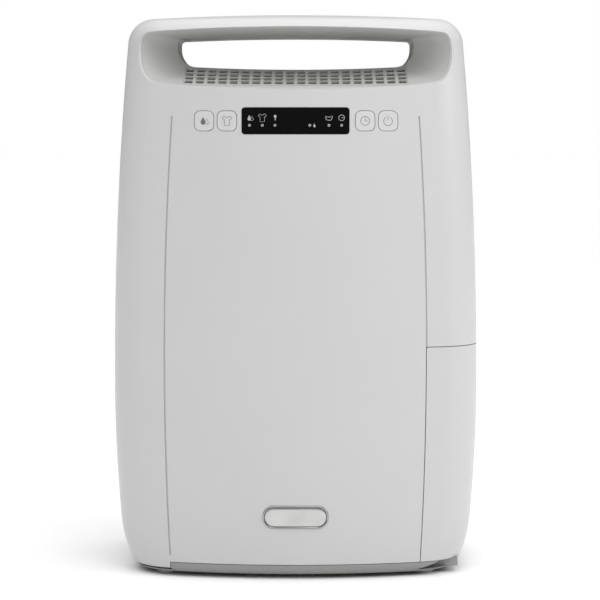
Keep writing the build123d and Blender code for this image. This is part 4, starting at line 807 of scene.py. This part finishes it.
low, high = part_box("display_window")
middle_x = (low.x + high.x) / 2 / MM
upper_z = (low.z + high.z) / 2 / MM + 2.7
lower_z = (low.z + high.z) / 2 / MM - 3.9
display_line = 0.42


def shown(points, across, up):
    """Points round a sign's middle, moved to across the window's middle and up from the floor."""
    return [(middle_x + across + x, up + z) for x, z in points]


# Two drops for dry air, a shirt for laundry, a thermometer, a full tank and a clock.
thermometer_stem = [(-0.5, 0.1), (0.5, 0.1), (0.2, -2.6), (-0.2, -2.6)]
full_tank = [(-3.0, 1.6), (-2.8, -0.6), (-2.0, -1.9), (0.0, -2.2), (2.0, -1.9), (2.8, -0.6),
             (3.0, 1.6), (1.6, 0.7), (-1.6, 0.7)]
display_signs = bmesh.new()
patch_sign(display_signs, drop(middle_x - 40.8, upper_z - 2.5, 1.5, 5.0))
line_sign(display_signs, drop(middle_x - 38.4, upper_z - 2.4, 1.2, 4.0), 0.32, closed=True)
line_sign(display_signs, shirt(middle_x - 29.3, upper_z, 7.2), 0.34, closed=True)
patch_sign(display_signs, arc(middle_x - 17.9, upper_z + 1.3, 1.25, 0, 345, 20))
patch_sign(display_signs, shown(thermometer_stem, -17.9, upper_z))
line_sign(display_signs, shown(full_tank, 29.6, upper_z), display_line, closed=True)
line_sign(display_signs, arc(middle_x + 40.8, upper_z, 2.5, 0, 345, 28), display_line, closed=True)
line_sign(display_signs, shown([(0, 0.1), (1.5, 0.1)], 40.8, upper_z), 0.5)

# Below them stand six lamp marks, and a small drop beside the fourth.
for lamp_x in (-40.6, -29.3, -18.1, 12.6, 29.6, 40.8):
    line_sign(display_signs, arc(middle_x + lamp_x, lower_z, 0.95, 0, 320, 14), 0.5, closed=True)
    patch_sign(display_signs, arc(middle_x + lamp_x, lower_z, 0.4, 0, 330, 10))
patch_sign(display_signs, drop(middle_x + 16.7, lower_z - 1.7, 0.95, 3.4))
display_print = print_sign("display_print", display_signs, "display_window", "casing",
                           print_pale, proud=0.02)

# ---------------------------------------------------------------- front plate
# A pressed brass pill, bright-plated and left bare, glued into a shallow seat low on the
# front. Its rolled rim stands above a channel painted near-black as painted shade, and a satin field.
plate_satin = metal("plate_satin", (0.56, 0.56, 0.55), 0.34, lines=(15, 700, 700), depth=0.004,
                    spots=0.02, edge=0.1)
plate_polished = metal("plate_polished", (0.36, 0.36, 0.36), 0.12, depth=0.001, spots=0.02,
                       edge=0.1)
# The channel's near-black colour is painted shade: the dark outline round the rim, not a finish of the
# brass.
plate_painted_shade = moulded("plate_painted_shade", (0.05, 0.05, 0.05), 0.35, 0.3, 0.004, tone=0.2, edge=0.1)

low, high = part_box("front_plate")
pill_x = (low.x + high.x) / 2
pill_z = (low.z + high.z) / 2
pill_radius = (high.z - low.z) / 2
pill_run = (high.x - low.x) / 2 - pill_radius
plate_front = np.array([v.co for v in nodes["front_plate"].data.vertices if v.normal.y < -0.5])
bow_terms = np.column_stack((np.ones(len(plate_front)), plate_front[:, 0]**2,
                             plate_front[:, 2], plate_front[:, 2]**2))
bow = np.linalg.lstsq(bow_terms, plate_front[:, 1], rcond=None)[0]
plate_stock = 0.8 * MM

# The section from the rim inwards: how far in and how proud of its seat each ring lies, in
# millimetres, and the finish of the band that starts there.
# The channel band takes the near-black painted shade; the rim and the field take real metal finishes.
rim, shaded_channel, field = 0, 1, 2
plate_profile = [(0.0, 0.0, rim), (0.0, 0.28, rim), (0.25, 0.62, rim), (0.7, 0.79, rim),
                 (1.2, 0.70, rim), (1.55, 0.44, shaded_channel), (1.75, 0.28, shaded_channel),
                 (2.35, 0.28, field), (2.5, 0.36, field), (4.5, 0.38, field),
                 (7.5, 0.40, field), (10.2, 0.41, field)]
end_steps = 16
side_steps = 20
first_turn = 3
plate_mesh = bmesh.new()
plate_rings = []
for inset, proud, finish_index in plate_profile:
    radius = pill_radius - inset * MM
    turns = [math.radians(first_turn + (90 - first_turn) * i / end_steps)
             for i in range(end_steps + 1)]
    upper = [(pill_run + radius * math.cos(t), radius * math.sin(t)) for t in turns]
    upper += [(pill_run * (1 - 2 * i / side_steps), radius) for i in range(1, side_steps)]
    upper += [(-x, z) for x, z in reversed(upper[:end_steps + 1])]
    ring = upper + [(x, -z) for x, z in reversed(upper)]
    plate_rings.append([])
    for x, z in ring:
        at_x, at_z = pill_x + x, pill_z + z
        face_y = bow @ (1, at_x**2, at_z, at_z**2)
        plate_rings[-1].append(plate_mesh.verts.new((at_x, face_y + plate_stock - proud * MM, at_z)))
ring_count = len(plate_rings[0])
for band, ring, following in zip(plate_profile, plate_rings, plate_rings[1:]):
    for index in range(ring_count):
        after = (index + 1) % ring_count
        skin = plate_mesh.faces.new((ring[index], ring[after], following[after], following[index]))
        skin.material_index = band[2]
for ring, finish_index in ((plate_rings[0], rim), (plate_rings[-1], field)):
    for index in range(ring_count // 2 - 1):
        web = plate_mesh.faces.new((ring[index], ring[index + 1],
                                    ring[ring_count - 2 - index], ring[ring_count - 1 - index]))
        web.material_index = finish_index
bmesh.ops.recalc_face_normals(plate_mesh, faces=plate_mesh.faces)
for face in plate_mesh.faces:
    face.smooth = True
pressing_mesh = bpy.data.meshes.new("plate_pressing")
plate_mesh.to_mesh(pressing_mesh)
plate_mesh.free()
for finish in (plate_polished, plate_painted_shade, plate_satin):
    pressing_mesh.materials.append(finish)
plate_pressing = bpy.data.objects.new("plate_pressing", pressing_mesh)
bpy.context.collection.objects.link(plate_pressing)
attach(plate_pressing, "casing")
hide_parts("front_plate")
